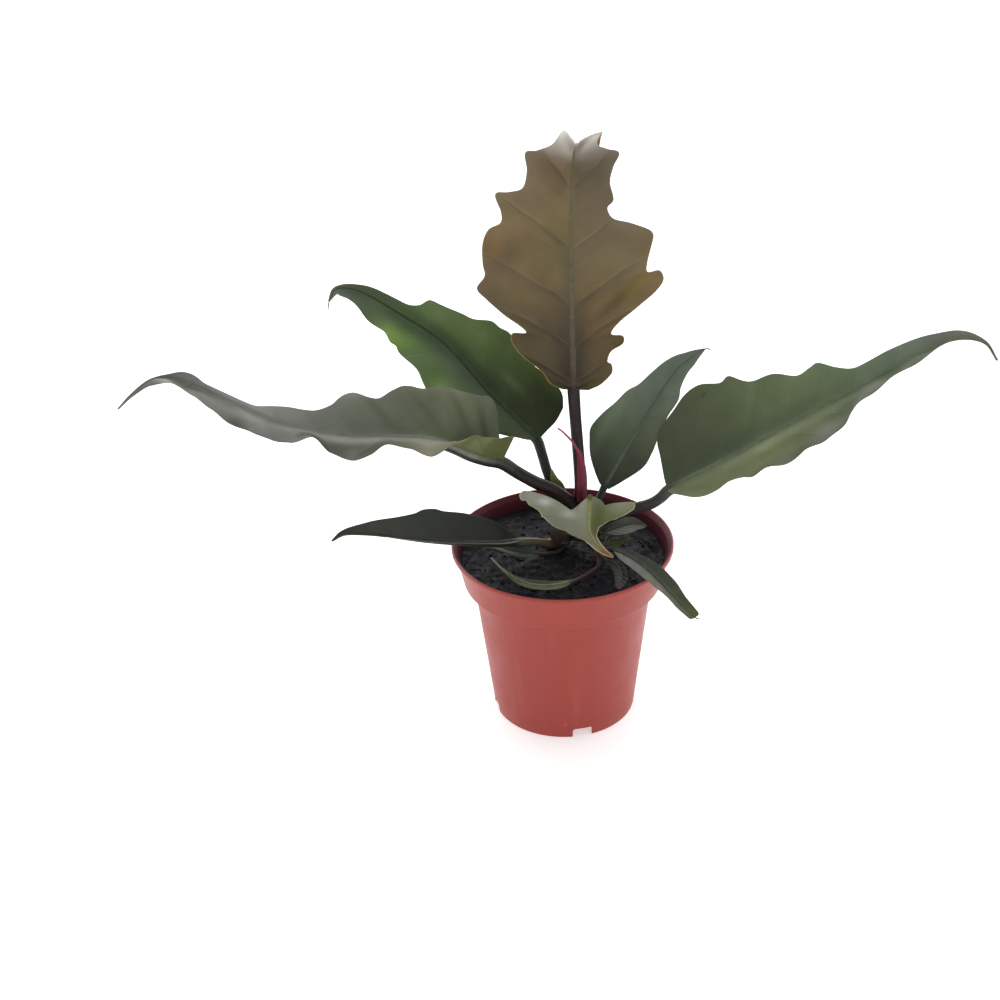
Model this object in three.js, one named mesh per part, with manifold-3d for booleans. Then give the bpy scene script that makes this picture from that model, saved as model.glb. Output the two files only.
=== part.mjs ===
import * as THREE from 'three';
import { mergeVertices } from 'three/addons/utils/BufferGeometryUtils.js';
import Module from 'manifold-3d';

// A young philodendron with toothed, long-tipped leaves in a plastic nursery pot.
// Millimetres, +Z up, the pot's axis on X = Y = 0 and its foot on Z = 0.

// Pot
const POT_HEIGHT = 102;
const RIM_RADIUS = 60;
const LIP_HEIGHT = 2.6;
const BAND_TOP_RADIUS = 58;
const BAND_FOOT_RADIUS = 54;
const BAND_FOOT = 81;
const BODY_TOP_RADIUS = 48.7;
const FOOT_RADIUS = 39.3;
const WALL = 1.2;
const FLOOR_UNDERSIDE = 6;
const FLOOR_THICKNESS = 1.4;
const NOTCH_WIDTH = 11;
const NOTCH_HEIGHT = 5.6;
const FIRST_NOTCH_ANGLE = -78;
const DRAIN_RADIUS = 3.5;
const DRAIN_CIRCLE = 24;
const DRAINS = 6;
const FACETS = 40;

// Soil
const SOIL_TOP = 93.2;
const SOIL_RINGS = 5;
const GAP = 0.3;

// Leaves
const BLADE_THICKNESS = 0.8;
const TIP_HALF_WIDTH = 0.5;
const RIB_TIP_HALF_WIDTH = 0.8;
const RIB_TIP_DEPTH = 0.3;
const MARGIN_SWEEP = 0.6;
const MARGIN_SPREAD = 0.25;

// Stems: the crown of the main plant and a small shoot beside it
const STEMS = {
  stem: { path: [[-1, 11, 74], [-0.5, 11, 96], [3, 12, 108], [7, 12, 118]], radius: 6, color: 0x4a3533 },
  shoot: { path: [[19, -5, 80], [19, -6, 92], [19.5, -6.5, 99]], radius: 3, color: 0x5a4038 },
};

// Each blade lies on a curved midrib. An edge point is its distance along the midrib and its
// width out from it, on the left and the right of the midrib seen from above; the folds are
// the angles by which each half is raised along its length, and face is where the blade looks.
const LEAVES = {
  leaf_top: {
    petiole: [[9.5, 12, 112], [10.7, 12.2, 126], [10.2, 12.5, 141], [8.4, 13, 169]],
    midrib: [[7.6, 13, 186], [7.2, 15, 225], [7.2, 21, 264], [8.5, 31, 292], [11, 45, 305.5],
      [13, 59, 301], [14, 68, 288]],
    face: [[0, -1, 0.15], [0, -1, 0.3], [0, -0.6, 1]],
    left: {
      base: [],
      edge: [[1, 6], [5, 12.5], [10, 15.5], [14, 19], [22, 27], [30, 32], [34, 31], [34, 24],
        [44, 35], [53, 44], [59, 49], [65, 45], [71, 46], [79, 46], [86, 43], [89, 37], [94, 37],
        [101, 40], [102, 33], [104, 26], [111, 25], [117, 27], [119, 21], [123, 14], [128, 11],
        [133, 10], [138, 9.5], [146, 8], [155, 5]],
      fold: [8, 8, 8, 10, 12, 14, 16, 22, 34, 33, 20],
    },
    right: {
      base: [],
      edge: [[0, 8], [3, 14], [9, 20], [14, 20], [16, 18], [22, 20], [26, 26], [30, 26], [31, 20],
        [38, 25], [47, 35], [54, 43], [60, 47], [65, 45], [64, 39], [69, 39], [77, 41], [83, 42],
        [86, 39], [89, 30], [91, 22], [96, 19], [100, 22], [108, 20], [115, 22], [120, 26],
        [122, 20], [125, 14], [130, 13.5], [137, 15], [143, 14], [149, 9], [155, 5]],
      fold: [8, 8, 8, 10, 12, 14, 16, 22, 36, 37, 20],
    },
    radius: 3.3, rows: 40, columns: 4, color: 0x7c6850,
  },
  leaf_back_left: {
    petiole: [[6, 13, 113], [-2.5, 16.5, 124], [-6.7, 20, 133.8], [-9.1, 23, 142.3]],
    midrib: [[-11, 27, 150], [-36, 38, 173], [-60, 48, 199], [-85, 58, 214], [-104, 64, 224],
      [-117, 67, 225], [-122, 67, 218]],
    face: [[0.3, -0.8, 0.6]],
    left: {
      base: [[1, 1.4], [5, 6]],
      edge: [[9, 9.4], [13, 12.4], [18, 15.8], [25, 22.5], [33, 29], [45, 34], [58, 34], [65, 31], [72, 28], [80, 27], [88, 24],
        [92, 21], [96, 21], [101, 18], [107, 17], [114, 15], [125, 10], [136, 5]],
      fold: [22, 25, 25, 20],
    },
    right: {
      base: [[0, 6], [0, 14]],
      edge: [[2, 22], [7, 27], [13, 29], [20, 30], [28, 28], [40, 29], [53, 30], [59, 28], [64, 27],
        [70, 21], [75, 19], [81, 17], [86, 16], [92, 15], [95, 10], [100, 7], [108, 6], [121, 5],
        [130, 3], [140, 1.5]],
      fold: [10, 10, 12, 10],
    },
    radius: 2.9, rows: 26, columns: 4, color: 0x3f5a2c,
  },
  leaf_left: {
    petiole: [[8, 11, 116], [-3.6, 9, 128.2], [-13.2, 7.5, 134.2], [-22.7, 6, 141.3]],
    midrib: [[-30.6, 4, 150.4], [-44.2, 3.3, 154.3], [-57, 2.2, 161.3], [-69.4, 0.9, 166.4],
      [-86.4, -0.6, 168.8], [-109.4, -4.4, 172], [-129.2, -8.8, 178.3], [-148.3, -14, 188],
      [-166.6, -19.8, 200.6], [-182.3, -24, 211.8], [-193.5, -26.8, 218.1], [-202.9, -29,
      218.6], [-211.7, -31, 212.9], [-219.8, -33, 205.4]],
    face: [[0, -0.5, 0.87]],
    left: {
      base: [[0, 8], [0, 16]],
      edge: [[0, 25], [6, 23.4], [13, 24.6], [22, 19], [32, 28.1], [42, 21.5], [54, 22.6], [66,
        16.3], [78, 25.1], [90, 25.1], [102, 18.9], [114, 18.7], [126, 20.8], [140, 17.9], [154,
        13.8], [168, 11.2], [182, 7.5], [198, 2.6]],
      fold: [90, 84, 90, 64, 32, 42, 43, 33, 28, 30, 46, 30, 27, 24, 15, 25, 32, 41, 13, 3, 0],
    },
    right: {
      base: [[1, 4], [4, 13]],
      edge: [[6.7, 24.5], [10.4, 29.3], [21, 31.3], [25.1, 29.9], [33, 28.7], [39.9, 28.5],
        [46.3, 25.9], [51.9, 26.9], [56.5, 26.7], [61.1, 24.5], [67.5, 20.3], [73.1, 20.7],
        [77.7, 22.1], [82.8, 22.9], [87.8, 21.5], [91.5, 18.9], [95.2, 15.1], [103.1, 11],
        [110.4, 9.8], [118.7, 9], [127.5, 6.8], [135.8, 4], [143.2, 3.6], [151.9, 3.8], [160.7,
        3.8], [165.8, 4], [170.4, 5.4], [174.5, 5.6], [178.2, 4.8], [183.3, 2.4], [189.3, 1],
        [196.2, 0.6], [202.7, 0.6]],
      fold: [30, 30, 30, 32, 33, 32, 30, 28, 28, 28, 30],
    },
    radius: 3.6, rows: 32, columns: 4, color: 0x6c7061,
  },
  leaf_back_right: {
    petiole: [[12, 13, 108], [20.3, 15.5, 118]],
    midrib: [[23.6, 18, 124], [41.6, 25, 153.7], [61, 33, 182.4], [71, 36, 191], [79, 38, 195.3]],
    face: [[-0.2, -0.9, 0.4]],
    left: {
      base: [],
      edge: [[1, 3], [5, 8], [12, 15], [20, 20], [26, 22.5], [35, 21], [44, 18], [52, 16], [58, 12.5],
        [65, 10.5], [74, 8], [82, 5]],
      fold: [8, 14, 10],
    },
    right: {
      base: [],
      edge: [[1, 3], [7, 6.5], [21, 13.5], [31, 14], [38, 13], [51, 11], [62, 11], [69, 8], [77, 6],
        [85, 4]],
      fold: [8, 20, 10],
    },
    radius: 2, rows: 16, columns: 3, color: 0x46554a,
  },
  leaf_right: {
    petiole: [[5, 10.5, 100], [31.6, 5.5, 115.2], [46.2, 1, 122], [52.5, -1, 127]],
    midrib: [[56, -2, 133], [105, -1, 159], [153, -4, 190.5], [184, -8, 210.7], [200, -11, 219.5],
      [212, -13, 216.5], [219.5, -14, 207]],
    face: [[-0.35, -0.6, 0.7]],
    left: {
      base: [[1, 6], [4, 17], [6, 25]],
      edge: [[10, 31], [20, 36], [30, 41], [40, 42], [50, 38], [56, 39], [62, 33], [67, 30],
        [78, 28], [88, 21], [96, 21], [101, 21], [107, 15], [114, 10], [122, 9], [136, 9],
        [151, 7.5], [164, 4.2], [178, 1.8]],
      fold: [15, 18, 22, 20, 15],
    },
    right: {
      base: [[0, 3]],
      edge: [[3, 10], [13, 22], [25, 29], [33, 26], [40, 27], [46, 33], [55, 33], [64, 37],
        [73, 36], [78, 35], [86, 36], [93, 32], [101, 31], [106, 23], [113, 15], [125, 11],
        [141, 7], [158, 3.6], [178, 1.5]],
      fold: [40, 42, 40, 36, 30],
    },
    radius: 3.2, rows: 30, columns: 4, color: 0x4b5b40,
  },
  leaf_low_left: {
    petiole: [[-0.5, 10, 98.6], [-7, 6.2, 96.8], [-14.1, 1.6, 101.1]],
    midrib: [[-23, -5, 106.4], [-39, -16, 112], [-70, -36, 126], [-98, -55, 142], [-110, -62, 146.6],
      [-116.4, -67, 145.8]],
    face: [[0, -0.4, 0.9]],
    left: {
      base: [],
      edge: [[0, 2], [10, 9], [25, 14], [45, 15.5], [65, 13], [85, 9], [105, 4]],
      fold: [45, 46, 45, 40],
    },
    right: {
      base: [],
      edge: [[0, 2], [5, 6], [11, 11], [22, 14.5], [35, 16.5], [47, 17], [53, 18], [61, 17],
        [67, 14.5], [80, 11], [93, 8], [105, 4.5]],
      fold: [25, 25, 25, 25],
    },
    radius: 2.2, rows: 18, columns: 3, color: 0x33392f,
  },
  leaf_front: {
    petiole: [[7, 7, 113], [13, 4, 120]],
    midrib: [[15, 0, 128.5], [14.5, -5.4, 124.7], [14, -10.8, 121], [13.9, -16.2, 117.2],
      [17.4, -21.8, 112.8], [25.6, -28, 107.4]],
    face: [[0, -0.8, 0.6]],
    left: {
      base: [[0, 2.8], [2.1, 5.2], [5.2, 5.8], [5, 8.8], [4.1, 12.4]],
      edge: [[3.7, 17.3], [3.7, 22.3], [5.4, 24.3], [7.8, 23.4], [9.2, 21.5], [10.8, 19.5],
        [12.1, 17.5], [13.6, 14.2], [14.3, 10.4], [16.7, 7.4], [21.4, 4.4], [24.3, 2.4],
        [28.5, 1.6], [33.9, 0.8]],
      fold: [10],
    },
    right: {
      base: [[1.6, 2.6], [5.2, 5.6], [8.8, 9.2], [6.9, 12.6], [4.1, 16.9], [1.5, 22.9],
        [-0.1, 28.9]],
      edge: [[-0.3, 33.3], [-0.7, 35.5], [1, 37.3], [3.1, 37.5], [5, 36.1], [5.2, 33.7],
        [7.7, 32.3], [9.5, 28.9], [11.3, 26.3], [15, 24.1], [16.6, 21.3], [17.8, 17.1], [18.7, 12],
        [19.7, 7.8], [21.8, 5.8], [25.5, 4], [30.2, 3.2], [34.9, 2.4]],
      fold: [4],
    },
    radius: 1.9, rows: 14, columns: 5, color: 0x7d876e,
  },
  leaf_low_right: {
    petiole: [[19.5, -6.5, 96.5], [22, -9.5, 101.5]],
    midrib: [[26.4, -14.5, 104.5], [33, -24, 105.9], [39.5, -34, 106.1], [45.4, -43.5, 104.7],
      [51, -50, 100.9], [57.8, -55, 94.7], [65.5, -59, 88.4]],
    face: [[-0.3, -0.5, 0.8]],
    left: {
      base: [],
      edge: [[-0.1, 1.1], [10.1, 3.4], [19.3, 4.4], [28.4, 5.5], [35.5, 6.4], [41.9, 6.5],
        [47, 6.2], [53.3, 4.9], [60.1, 3.9], [65.4, 2.8]],
      fold: [20, 25, 20],
    },
    right: {
      base: [],
      edge: [[1.3, 1], [9.5, 4.1], [20.7, 5.3], [29.9, 5.4], [37.1, 4.7], [43.4, 3.6], [48.7, 2.9],
        [54.5, 3.1], [60.5, 3], [63.7, 2.8]],
      fold: [20, 25, 20],
    },
    radius: 1.5, rows: 14, columns: 2, color: 0x3c4238,
  },
  leaf_soil_right: {
    petiole: [[5, 9, 98.5], [12, 6, 99]],
    midrib: [[19.9, 4, 103.5], [28.5, 7, 104.6], [38.5, 10, 105.3], [46.4, 9.5, 104]],
    face: [[0, -0.4, 0.9]],
    left: {
      base: [],
      edge: [[1.6, 1.8], [5.8, 3.2], [11, 4.6], [16.2, 4.8], [20.6, 4.1], [24.3, 2.4]],
      fold: [15],
    },
    right: {
      base: [],
      edge: [[-0.1, 0.9], [2.7, 4.1], [9.3, 8.2], [17.3, 8.7], [25, 3.9]],
      fold: [25],
    },
    radius: 1.2, rows: 7, columns: 2, color: 0x3f463b,
  },
  leaf_soil_small: {
    petiole: [[19, -5.5, 97.4], [20, -2.5, 97.4]],
    midrib: [[23.6, -1.5, 99.1], [29.7, 0.5, 99.5], [36.4, 3, 101.3]],
    face: [[0, -0.4, 0.9]],
    left: {
      base: [],
      edge: [[0.4, 1.2], [3.7, 2.4], [8, 2]],
      fold: [15],
    },
    right: {
      base: [],
      edge: [[0, 1.2], [3.3, 3.3], [7.5, 2.7]],
      fold: [15],
    },
    radius: 1, rows: 6, columns: 2, color: 0x4e5c38,
  },
  leaf_crescent: {
    petiole: [[19, -7, 97], [18, -19.4, 97.2], [11.1, -28.4, 97.4]],
    midrib: [[3.9, -34.3, 97.6], [-3.5, -36.7, 97.4], [-10.9, -37.6, 97.4], [-18.7, -35.5, 97.4],
      [-26.4, -29.4, 97.6], [-32.5, -20.9, 97.9], [-38.7, -9.8, 98.6]],
    face: [[0, -0.3, 0.95]],
    left: {
      base: [],
      edge: [[0.9, 0.9], [5, 2.8], [10.3, 3.6], [15.2, 3.5], [21.1, 3.3], [26.1, 3.3], [31.6, 2.6],
        [37.2, 1.4], [45.4, 0.9]],
      fold: [12],
    },
    right: {
      base: [],
      edge: [[0.2, 1], [5.5, 1.8], [11.1, 2.6], [18.3, 3.1], [27.9, 2.3], [36.2, 1.3], [46.6, 0.5]],
      fold: [12],
    },
    radius: 1.1, rows: 10, columns: 2, color: 0x66724e,
  },
  leaf_under: {
    petiole: [[0.8, 5, 95.4], [-3, -1.5, 95.9]],
    midrib: [[-12, -6.5, 98], [-23, -7, 100], [-33.7, -8, 104], [-41.6, -9.7, 107]],
    face: [[0, -0.4, 0.9]],
    left: { base: [], edge: [[0.5, 1.5], [8, 3.6], [17, 3.4], [26, 2]], fold: [15] },
    right: { base: [], edge: [[0.5, 1.5], [8, 3.6], [17, 3.4], [26, 2]], fold: [15] },
    radius: 1.2, rows: 8, columns: 2, color: 0x434f43,
  },
  leaf_drooping: {
    petiole: [[19.5, -7, 98.2], [21, -15.3, 100.2]],
    midrib: [[22.8, -19.4, 100.4], [26.6, -21.9, 99.6], [28.9, -27.2, 98.4], [28.8, -34.6, 97.4],
      [27, -44.2, 97.3]],
    face: [[0.2, -0.3, 0.9]],
    left: {
      base: [],
      edge: [[0.6, 1.2], [4.7, 3.1], [9.2, 3.8], [15, 3.7], [22.9, 2.3]],
      fold: [10],
    },
    right: {
      base: [],
      edge: [[0.3, 1.8], [7.5, 4.1], [16.2, 3.4], [25.6, 2.3]],
      fold: [10],
    },
    radius: 1, rows: 8, columns: 2, color: 0x353b33,
  },
  scale_leaf: {
    petiole: [[-1.2, 7, 98.4], [-1.9, 4.6, 98.5]],
    midrib: [[-2.7, 3.4, 98.8], [-3.2, 3, 102.8], [-4.1, 3.2, 107.1], [-5, 4, 110.1]],
    face: [[0.1, -1, 0.25]],
    left: {
      base: [],
      edge: [[0.5, 2.2], [4, 3.2], [8, 2.6], [11, 1.2]],
      fold: [-25],
    },
    right: {
      base: [],
      edge: [[0.5, 2.2], [4, 3.4], [8, 3], [11, 1.4]],
      fold: [-25],
    },
    radius: 1.4, rows: 6, columns: 2, color: 0x5c4a35,
  },
  red_sheath: {
    petiole: [[11.2, 7.6, 113], [11.3, 7.4, 117]],
    midrib: [[11.4, 7.2, 121], [11.4, 6.8, 136.5], [10.9, 6.2, 144.7], [9.7, 5.2, 152.4],
      [8.1, 4.5, 156], [6.1, 4.2, 160], [1.4, 3.5, 165.9], [-1.4, 3, 168.6]],
    face: [[0.2, -1, 0]],
    left: { base: [], edge: [[0.5, 3], [12, 3.2], [22, 2.6], [30, 1.6], [34, 1], [38, 0.7]], fold: [-25] },
    right: { base: [], edge: [[0.5, 3], [12, 3.2], [22, 2.6], [30, 1.6], [34, 1], [38, 0.7]], fold: [-25] },
    radius: 1.2, rows: 10, columns: 2, color: 0x6e2434,
  },
  green_sheath: {
    petiole: [[6, 14, 119], [4, 14.2, 121]],
    midrib: [[1.6, 14.6, 123.6], [-0.7, 15.2, 127.6], [-3.2, 16, 131.8], [-4.6, 17, 137]],
    face: [[-0.3, -0.9, 0.3]],
    left: { base: [], edge: [[0.5, 2.2], [5, 3], [10, 2], [14, 0.8]], fold: [20] },
    right: { base: [], edge: [[0.5, 2.2], [5, 3], [10, 2], [14, 0.8]], fold: [20] },
    radius: 1, rows: 6, columns: 2, color: 0x7c8448,
  },
};

const wasm = await Module();
wasm.setup();
const { Manifold, Mesh: SolidMesh } = wasm;

const vector = (point) => new THREE.Vector3(...point);
const curveThrough = (points) => new THREE.CatmullRomCurve3(points.map(vector), false, 'catmullrom', 0.5);

function toSolid(geometry) {
  const bare = geometry.clone();
  bare.deleteAttribute('normal');
  bare.deleteAttribute('uv');
  const merged = mergeVertices(bare, 1e-4);
  return new Manifold(new SolidMesh({
    numProp: 3,
    vertProperties: new Float32Array(merged.attributes.position.array),
    triVerts: new Uint32Array(merged.index.array),
  }));
}

function toGeometry(solid) {
  const mesh = solid.getMesh();
  const geometry = new THREE.BufferGeometry();
  geometry.setAttribute('position', new THREE.BufferAttribute(new Float32Array(mesh.vertProperties), 3));
  geometry.setIndex(new THREE.BufferAttribute(new Uint32Array(mesh.triVerts), 1));
  geometry.computeVertexNormals();
  return geometry;
}

function makeMesh(name, geometry, color, roughness) {
  const material = new THREE.MeshStandardMaterial({ name, color, roughness, metalness: 0 });
  const mesh = new THREE.Mesh(geometry, material);
  mesh.name = name;
  return mesh;
}

function makeTube(points, radius) {
  const path = points instanceof THREE.Curve ? points : curveThrough(points);
  const section = new THREE.Shape();
  section.absarc(0, 0, radius, 0, 2 * Math.PI, false);
  const steps = Math.max(2, Math.round(path.getLength() / (3 * radius)));
  const curveSegments = radius > 4 ? 6 : radius > 1.7 ? 4 : 3;
  return toSolid(new THREE.ExtrudeGeometry(section, {
    curveSegments, steps, bevelEnabled: false, extrudePath: path,
  }));
}

// Pot: a turned shell with a stepped rim band, drain holes and a notched foot ring
const bodyTop = BAND_FOOT - 0.8;
const bandTop = POT_HEIGHT - LIP_HEIGHT;
const floorTop = FLOOR_UNDERSIDE + FLOOR_THICKNESS;
const footWallRadius = FOOT_RADIUS + 0.8;

function makePot() {
  const profile = [
    [FOOT_RADIUS - WALL, 0],
    [FOOT_RADIUS, 0],
    [footWallRadius, floorTop],
    [BODY_TOP_RADIUS, bodyTop],
    [BAND_FOOT_RADIUS - 0.5, bodyTop + 0.2],
    [BAND_FOOT_RADIUS, BAND_FOOT],
    [BAND_TOP_RADIUS, bandTop],
    [RIM_RADIUS, bandTop + 0.3],
    [RIM_RADIUS, POT_HEIGHT],
    [BAND_TOP_RADIUS + 1.1, POT_HEIGHT],
    [BAND_TOP_RADIUS - WALL, bandTop],
    [BAND_FOOT_RADIUS - WALL, BAND_FOOT + WALL],
    [BODY_TOP_RADIUS - WALL + 0.5, BAND_FOOT + WALL - 0.4],
    [BODY_TOP_RADIUS - WALL, bodyTop],
    [footWallRadius - WALL, floorTop + 1.2],
    [footWallRadius - WALL - 1.2, floorTop],
    [0, floorTop],
    [0, FLOOR_UNDERSIDE],
    [FOOT_RADIUS - WALL - 1, FLOOR_UNDERSIDE],
    [FOOT_RADIUS - WALL, FLOOR_UNDERSIDE - 1],
    [FOOT_RADIUS - WALL, 0],
  ];
  const turned = new THREE.LatheGeometry(profile.map(([r, y]) => new THREE.Vector2(r, y)), FACETS);
  turned.rotateX(Math.PI / 2);
  let pot = toSolid(turned);
  for (let k = 0; k < 4; k += 1) {
    const notch = new THREE.BoxGeometry(12, NOTCH_WIDTH, 2 * NOTCH_HEIGHT);
    notch.translate(FOOT_RADIUS, 0, 0);
    notch.rotateZ(THREE.MathUtils.degToRad(FIRST_NOTCH_ANGLE + 90 * k));
    pot = pot.subtract(toSolid(notch));
  }
  for (let k = 0; k < DRAINS; k += 1) {
    const angle = (2 * Math.PI * k) / DRAINS;
    const drain = new THREE.CylinderGeometry(DRAIN_RADIUS, DRAIN_RADIUS, 6, 10);
    drain.rotateX(Math.PI / 2);
    drain.translate(DRAIN_CIRCLE * Math.cos(angle), DRAIN_CIRCLE * Math.sin(angle), floorTop);
    pot = pot.subtract(toSolid(drain));
  }
  return pot;
}

// Soil: fills the pot to a lumpy top, with a plain hole for each stem
function soilHeight(x, y) {
  const lumps = 0.5 * Math.sin(x / 5.3 + 1) * Math.cos(y / 6.1) + 0.35 * Math.sin(x / 2.9 - y / 3.7);
  const mound = 0.8 * Math.exp(-(x * x + y * y) / 700);
  return SOIL_TOP - 0.6 + lumps + mound;
}

function makeSoil() {
  const wallSlope = (BAND_TOP_RADIUS - BAND_FOOT_RADIUS) / (bandTop - BAND_FOOT);
  const topRadius = BAND_FOOT_RADIUS - WALL - GAP + (SOIL_TOP - BAND_FOOT - WALL) * wallSlope;
  const side = [
    [footWallRadius - WALL - 1.2 - GAP, floorTop + GAP],
    [footWallRadius - WALL - GAP, floorTop + 1.2 + GAP],
    [BODY_TOP_RADIUS - WALL - GAP, bodyTop + GAP],
    [BODY_TOP_RADIUS - WALL - GAP + 0.5, BAND_FOOT + WALL - 0.4 + GAP],
    [BAND_FOOT_RADIUS - WALL - GAP, BAND_FOOT + WALL + GAP],
  ];
  const profile = [[0, floorTop + GAP], ...side];
  for (let k = 0; k <= SOIL_RINGS; k += 1) {
    profile.push([topRadius * (1 - k / SOIL_RINGS), SOIL_TOP]);
  }
  const turned = new THREE.LatheGeometry(profile.map(([r, y]) => new THREE.Vector2(r, y)), FACETS);
  turned.rotateX(Math.PI / 2);
  const position = turned.attributes.position;
  for (let k = 0; k < position.count; k += 1) {
    if (position.getZ(k) > SOIL_TOP - 0.01) {
      position.setZ(k, soilHeight(position.getX(k), position.getY(k)));
    }
  }
  return toSolid(turned);
}

// Blend of a short list of values spread evenly along the leaf
function blend(values, along) {
  const place = along * (values.length - 1);
  const first = Math.min(Math.floor(place), Math.max(values.length - 2, 0));
  const share = place - first;
  const last = Math.min(first + 1, values.length - 1);
  return THREE.MathUtils.lerp(values[first], values[last], share * share * (3 - 2 * share));
}

class Blade {
  constructor(spec) {
    this.spec = spec;
    this.curve = curveThrough(spec.midrib);
    this.length = this.curve.getLength();
    this.left = this.traceMargin(spec.left);
    this.right = this.traceMargin(spec.right);
  }

  // The margin as points, each with the place on the midrib that its row starts from
  traceMargin({ base, edge }) {
    const ends = [...edge, [this.length, TIP_HALF_WIDTH]].map(([u, w]) => new THREE.Vector2(u, w));
    const points = new THREE.SplineCurve(ends).getPoints(ends.length * 8);
    const runs = [0];
    for (let k = 1; k < points.length; k += 1) {
      runs.push(runs[k - 1] + points[k].distanceTo(points[k - 1]));
    }
    let furthest = 0;
    const starts = points.map((point, k) => {
      furthest = Math.max(furthest, Math.min(point.x - MARGIN_SWEEP * point.y, this.length));
      return (1 - MARGIN_SPREAD) * furthest + (MARGIN_SPREAD * this.length * runs[k]) / runs.at(-1);
    });
    const scale = this.length / (starts.at(-1) - starts[0]);
    const anchors = starts.map((start) => (start - starts[0]) * scale);
    const foot = [[0, 0], ...base, edge[0]].map(([u, w]) => new THREE.Vector2(u, w));
    return { points, anchors, foot: new THREE.SplineCurve(foot), corner: foot.at(-1) };
  }

  marginAt(side, anchor) {
    const last = side.anchors.length - 1;
    let k = 1;
    while (k < last && side.anchors[k] < anchor) k += 1;
    const share = (anchor - side.anchors[k - 1]) / (side.anchors[k] - side.anchors[k - 1]);
    return side.points[k - 1].clone().lerp(side.points[k], THREE.MathUtils.clamp(share, 0, 1));
  }

  // Rows are closest where the margins run longest
  rowAnchors(rows) {
    const steps = 400;
    const travelled = [0];
    let before = [this.marginAt(this.left, 0), this.marginAt(this.right, 0)];
    for (let k = 1; k <= steps; k += 1) {
      const anchor = (this.length * k) / steps;
      const now = [this.marginAt(this.left, anchor), this.marginAt(this.right, anchor)];
      const step = now[0].distanceTo(before[0]) + now[1].distanceTo(before[1]) + this.length / steps;
      travelled.push(travelled[k - 1] + step);
      before = now;
    }
    const anchors = [0];
    let k = 0;
    for (let row = 1; row < rows; row += 1) {
      while (travelled[k] < (travelled[steps] * row) / rows) k += 1;
      anchors.push((this.length * k) / steps);
    }
    return [...anchors, this.length];
  }

  // The midrib's point, direction, upper face and left-hand direction at a distance along it
  frame(u) {
    const along = THREE.MathUtils.clamp(u / this.length, 0, 1);
    const tangent = this.curve.getTangentAt(along);
    const centre = this.curve.getPointAt(along).addScaledVector(tangent, u - along * this.length);
    const face = this.spec.face;
    const hint = new THREE.Vector3(...[0, 1, 2].map((axis) => blend(face.map((f) => f[axis]), along)));
    const normal = hint.addScaledVector(tangent, -hint.dot(tangent)).normalize();
    const across = new THREE.Vector3().crossVectors(normal, tangent);
    return { along, centre, tangent, normal, across };
  }

  // A point of the blade, v to the left of the midrib where positive
  surface(u, v) {
    const { along, centre, normal, across } = this.frame(u);
    const side = v >= 0 ? this.spec.left : this.spec.right;
    const fold = THREE.MathUtils.degToRad(blend(side.fold, along));
    return centre.addScaledVector(across, v * Math.cos(fold)).addScaledVector(normal, Math.abs(v) * Math.sin(fold));
  }

  surfaceNormal(u, v) {
    if (v === 0) return this.frame(u).normal;
    const sign = Math.sign(v);
    const alongU = this.surface(u + 0.3, v).sub(this.surface(u - 0.3, v));
    const alongV = this.surface(u, v + 0.2 * sign).sub(this.surface(u, v)).multiplyScalar(sign);
    return alongU.cross(alongV).normalize();
  }

  ribDepth(along) {
    const base = 1.7 * this.spec.radius;
    return RIB_TIP_DEPTH + (base - RIB_TIP_DEPTH) * (1 - along) ** 1.5;
  }

  ribHalfWidth(along) {
    return RIB_TIP_HALF_WIDTH + (1.2 * this.spec.radius - RIB_TIP_HALF_WIDTH) * (1 - along);
  }

  // Place on the blade of one row's point, a share of the way from the midrib to the margin
  place(side, anchor, share) {
    const out = this.marginAt(side, anchor).sub(new THREE.Vector2(anchor, 0)).multiplyScalar(share);
    const foot = side.foot.getPointAt(share).sub(side.corner.clone().multiplyScalar(share));
    return out.add(new THREE.Vector2(anchor, 0)).addScaledVector(foot, 1 - anchor / this.length);
  }

  // Upper and lower skins, split into triangles alike, and the walls between them
  makeSolid() {
    const { rows, columns } = this.spec;
    const width = 2 * columns + 1;
    const anchors = this.rowAnchors(rows);
    const top = [];
    const bottom = [];
    for (const anchor of anchors) {
      const along = anchor / this.length;
      for (let j = -columns; j <= columns; j += 1) {
        const side = j >= 0 ? this.left : this.right;
        const reach = this.marginAt(side, anchor).distanceTo(new THREE.Vector2(anchor, 0));
        const rib = Math.min(this.ribHalfWidth(along) / reach, 0.5 / columns + 0.1);
        const steps = Math.abs(j);
        const share = steps === 0 ? 0 : rib + ((1 - rib) * (steps - 1)) / Math.max(columns - 1, 1);
        const at = this.place(side, anchor, Math.min(share, 1));
        const v = Math.sign(j) * at.y;
        const point = this.surface(at.x, v);
        const normal = this.surfaceNormal(at.x, v);
        const down = BLADE_THICKNESS / 2 + (steps === 0 ? this.ribDepth(along) : 0);
        top.push(point.clone().addScaledVector(normal, BLADE_THICKNESS / 2));
        bottom.push(point.clone().addScaledVector(normal, -down));
      }
    }
    const triangles = [];
    const under = top.length;
    const quad = (a, b, c, d) => triangles.push(a, b, c, a, c, d);
    for (let i = 0; i < rows; i += 1) {
      for (let j = 0; j < width - 1; j += 1) {
        const [a, b, c, d] = [i * width + j, (i + 1) * width + j, (i + 1) * width + j + 1, i * width + j + 1];
        if (j < columns) {
          quad(a, b, c, d);
          quad(under + a, under + d, under + c, under + b);
        } else {
          quad(b, c, d, a);
          quad(under + b, under + a, under + d, under + c);
        }
      }
      const [leftHere, leftNext] = [i * width + width - 1, (i + 1) * width + width - 1];
      quad(under + leftHere, leftHere, leftNext, under + leftNext);
      const [rightHere, rightNext] = [i * width, (i + 1) * width];
      quad(under + rightHere, under + rightNext, rightNext, rightHere);
    }
    for (let j = 0; j < width - 1; j += 1) {
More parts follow.
